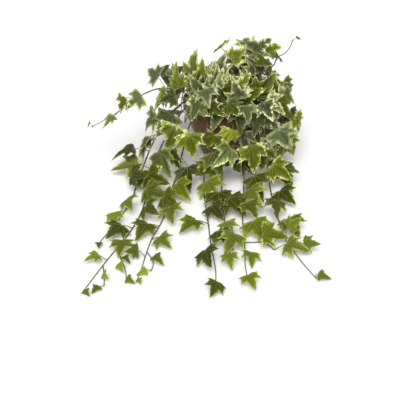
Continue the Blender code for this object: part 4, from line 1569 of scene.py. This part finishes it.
def make_soil(settings):
    """The lumpy top grows out of rings, over plain sides and a flat underside."""
    inset = WALL + GAP + GAP / 3
    bottom = BASE_THICK + GAP
    rings = [(wall_radius(bottom) - inset, bottom), (wall_radius(SOIL_TOP) - inset, None)]
    widest = rings[1][0]
    rings += [(widest * (1 - number / SOIL_RINGS), None) for number in range(1, SOIL_RINGS)]
    vertices = [Vector((0.0, 0.0, bottom))]
    for radius, height in rings:
        for side in range(SOIL_SIDES):
            x, y, z = round_the_pot(radius, math.tau * side / SOIL_SIDES, height or 0.0)
            if height is None:
                rough = noise.fractal(Vector((x, y, 0.0)) * CRUMBS_PER_METRE, *CRUMB_DETAIL)
                z = soil_height(x, y) + rough * CRUMB_HEIGHT
            vertices.append(Vector((x, y, z)))
    vertices.append(Vector((0.0, 0.0, soil_height(0.0, 0.0))))
    top = len(vertices) - 1
    faces = []
    for i in range(SOIL_SIDES):
        j = (i + 1) % SOIL_SIDES
        faces.append((0, 1 + j, 1 + i))
        for ring in range(len(rings) - 1):
            low, high = 1 + ring * SOIL_SIDES, 1 + (ring + 1) * SOIL_SIDES
            faces.append((low + i, low + j, high + j, high + i))
        last = 1 + (len(rings) - 1) * SOIL_SIDES
        faces.append((last + i, last + j, top))
    mesh = bpy.data.meshes.new("potting_soil")
    mesh.from_pydata([tuple(vertex) for vertex in vertices], [], faces)
    mesh.materials.append(kept("potting soil", soil_material, settings))
    mesh.shade_smooth()
    finish_piece(to_scene("potting_soil", mesh), "soil", "soil")


def make_bits(name, count, sizes, flatness, material):
    """Loose bits on the soil, each a dented ball pressed flat and half sunk."""
    mesh = bpy.data.meshes.new(name)
    heap = bmesh.new()
    for number in range(count):
        draw = random.Random(f"{name} {number}")
        size = draw.uniform(*sizes)
        shape = Vector((draw.uniform(*BIT_LENGTHS), draw.uniform(*BIT_WIDTHS), flatness)) * size
        radius = (BITS_REACH - BIT_EDGE * shape.x) * math.sqrt(draw.random())
        place = Vector(round_the_pot(radius, draw.uniform(0, math.tau), shape.z * BIT_RISE))
        place.z += soil_height(place.x, place.y)
        tilts = (draw.uniform(-BIT_TILT, BIT_TILT), draw.uniform(-BIT_TILT, BIT_TILT))
        turn = Euler((*tilts, draw.uniform(0, math.tau)))
        matrix = Matrix.LocRotScale(place, turn, shape)
        made = bmesh.ops.create_icosphere(heap, subdivisions=2, radius=1.0, matrix=matrix)
        for vertex in made["verts"]:
            dent = noise.noise(vertex.co * DENTS_PER_METRE + Vector((number, 0, 0)))
            vertex.co = place + (vertex.co - place) * (1 + DENT_DEPTH * dent)
    heap.to_mesh(mesh)
    heap.free()
    mesh.materials.append(material)
    mesh.shade_smooth()
    mesh.set_sharp_from_angle(angle=BITS_SHARP)
    finish_piece(to_scene(name, mesh), "soil")


# The stage


def make_floor(settings):
    mesh = bpy.data.meshes.new("floor")
    shape = bmesh.new()
    bmesh.ops.create_grid(shape, x_segments=2, y_segments=2, size=FLOOR_HALF)
    shape.to_mesh(mesh)
    shape.free()
    mesh.materials.append(kept("plain floor", floor_material, settings))
    to_scene("floor", mesh)


def make_sky(settings):
    """Even light from all round, which the camera sees as white."""
    world = bpy.data.worlds.new("even light")
    world.use_nodes = True
    tree = world.node_tree
    seen = tree.nodes.new("ShaderNodeLightPath").outputs["Is Camera Ray"]
    back = tree.nodes["Background"].inputs
    back["Color"].default_value = (1.0, 1.0, 1.0, 1.0)
    wire(tree, maths(tree, "MAXIMUM", seen, settings.sky), back["Strength"])
    bpy.context.scene.world = world


def make_key_light(settings):
    light = bpy.data.lights.new("key_light", "SUN")
    light.energy = settings.key
    light.angle = settings.key_size
    key = bpy.data.objects.new("key_light", light)
    key.rotation_euler = (-KEY_FROM).to_track_quat("-Z", "Y").to_euler()
    bpy.context.scene.collection.objects.link(key)


def make_camera():
    lens = bpy.data.cameras.new("camera")
    lens.sensor_width = SENSOR
    lens.lens = FOCAL_PIXELS * SENSOR / PHOTO_SIDE
    camera = bpy.data.objects.new("camera", lens)
    pitch = CAMERA_ELEVATION + math.atan(HORIZON_SHIFT / FOCAL_PIXELS)
    camera.location = (CAMERA_X, -CAMERA_DISTANCE * math.cos(CAMERA_ELEVATION),
                       CAMERA_DISTANCE * math.sin(CAMERA_ELEVATION))
    camera.rotation_euler = (math.radians(90) - pitch, 0.0, 0.0)
    bpy.context.scene.collection.objects.link(camera)
    bpy.context.scene.camera = camera


# Operators and panel


class IVY_OT_pot(Operator):
    """Make the tapered nursery pot with its rim band and drain holes"""

    bl_idname = "ivy.make_pot"
    bl_label = "Make Pot"

    def execute(self, context):
        make_pot(context.scene.ivy_pot)
        return {"FINISHED"}


class IVY_OT_soil(Operator):
    """Fill the pot with lumpy soil, bits of bark and white grains"""

    bl_idname = "ivy.make_soil"
    bl_label = "Make Soil"

    def execute(self, context):
        soil = context.scene.ivy_soil
        make_soil(soil)
        bark = kept("bark bits", bit_material, soil.bark, soil.bark_shade, BARK_ROUGHNESS)
        make_bits("bark_bits", soil.bark_bits, BARK_SIZES, BARK_FLATNESS, bark)
        white = kept("white grains", bit_material, soil.perlite, soil.perlite_shade,
                     GRAIN_ROUGHNESS)
        make_bits("white_grains", soil.grains, GRAIN_SIZES, GRAIN_FLATNESS, white)
        return {"FINISHED"}


class IVY_OT_trailing_stems(Operator):
    """Make the stems that trail over the rim and along the surface"""

    bl_idname = "ivy.make_trailing_stems"
    bl_label = "Make Trailing Stems"

    def execute(self, context):
        make_leafy_stems(trailing_stems() + slender_stems(), context.scene)
        return {"FINISHED"}


class IVY_OT_mound(Operator):
    """Make the short stems that hang over the rim or spread level with it"""

    bl_idname = "ivy.make_mound"
    bl_label = "Make Mound"

    def execute(self, context):
        stems = rim_stems("hanging", HANGING, HANGING_OUTLINE, HANGING_END)
        stems += rim_stems("spreading", LEVEL, LEVEL_OUTLINE, LEVEL_END, LEVEL_REACH)
        make_leafy_stems(stems, context.scene)
        return {"FINISHED"}


class IVY_OT_crown(Operator):
    """Make the upright stems in the middle"""

    bl_idname = "ivy.make_crown"
    bl_label = "Make Crown"

    def execute(self, context):
        make_leafy_stems(crown_stems(), context.scene)
        return {"FINISHED"}


class IVY_OT_stage(Operator):
    """Make the plain floor, the soft lights and the camera"""

    bl_idname = "ivy.make_stage"
    bl_label = "Make Stage"

    def execute(self, context):
        make_floor(context.scene.ivy_stage)
        make_sky(context.scene.ivy_stage)
        make_key_light(context.scene.ivy_stage)
        make_camera()
        context.scene.view_settings.view_transform = "Standard"
        return {"FINISHED"}


class IVY_PT_panel(Panel):
    """Lists the ivy's settings and the operators that make it"""

    bl_idname = "IVY_PT_panel"
    bl_label = "Potted Ivy"
    bl_space_type = "VIEW_3D"
    bl_region_type = "UI"
    bl_category = "Potted Ivy"

    def draw(self, context):
        for name in SETTINGS:
            group = getattr(context.scene, name)
            box = self.layout.box()
            for setting in group.__annotations__:
                box.prop(group, setting)
        for operator in OPERATORS:
            self.layout.operator(operator.bl_idname)


SETTINGS = {
    "ivy_leaf": IvyLeafSettings,
    "ivy_stem": IvyStemSettings,
    "ivy_pot": IvyPotSettings,
    "ivy_soil": IvySoilSettings,
    "ivy_stage": IvyStageSettings,
}
OPERATORS = (IVY_OT_stage, IVY_OT_pot, IVY_OT_soil, IVY_OT_trailing_stems, IVY_OT_mound,
             IVY_OT_crown)


def register():
    for name, group in SETTINGS.items():
        bpy.utils.register_class(group)
        setattr(bpy.types.Scene, name, PointerProperty(type=group))
    for operator in OPERATORS:
        bpy.utils.register_class(operator)
    bpy.utils.register_class(IVY_PT_panel)


def unregister():
    bpy.utils.unregister_class(IVY_PT_panel)
    for operator in reversed(OPERATORS):
        bpy.utils.unregister_class(operator)
    for name, group in SETTINGS.items():
        delattr(bpy.types.Scene, name)
        bpy.utils.unregister_class(group)


def main():
    register()
    bpy.ops.ivy.make_stage()
    bpy.ops.ivy.make_pot()
    bpy.ops.ivy.make_soil()
    bpy.ops.ivy.make_trailing_stems()
    bpy.ops.ivy.make_mound()
    bpy.ops.ivy.make_crown()


if __name__ == "__main__":
    main()
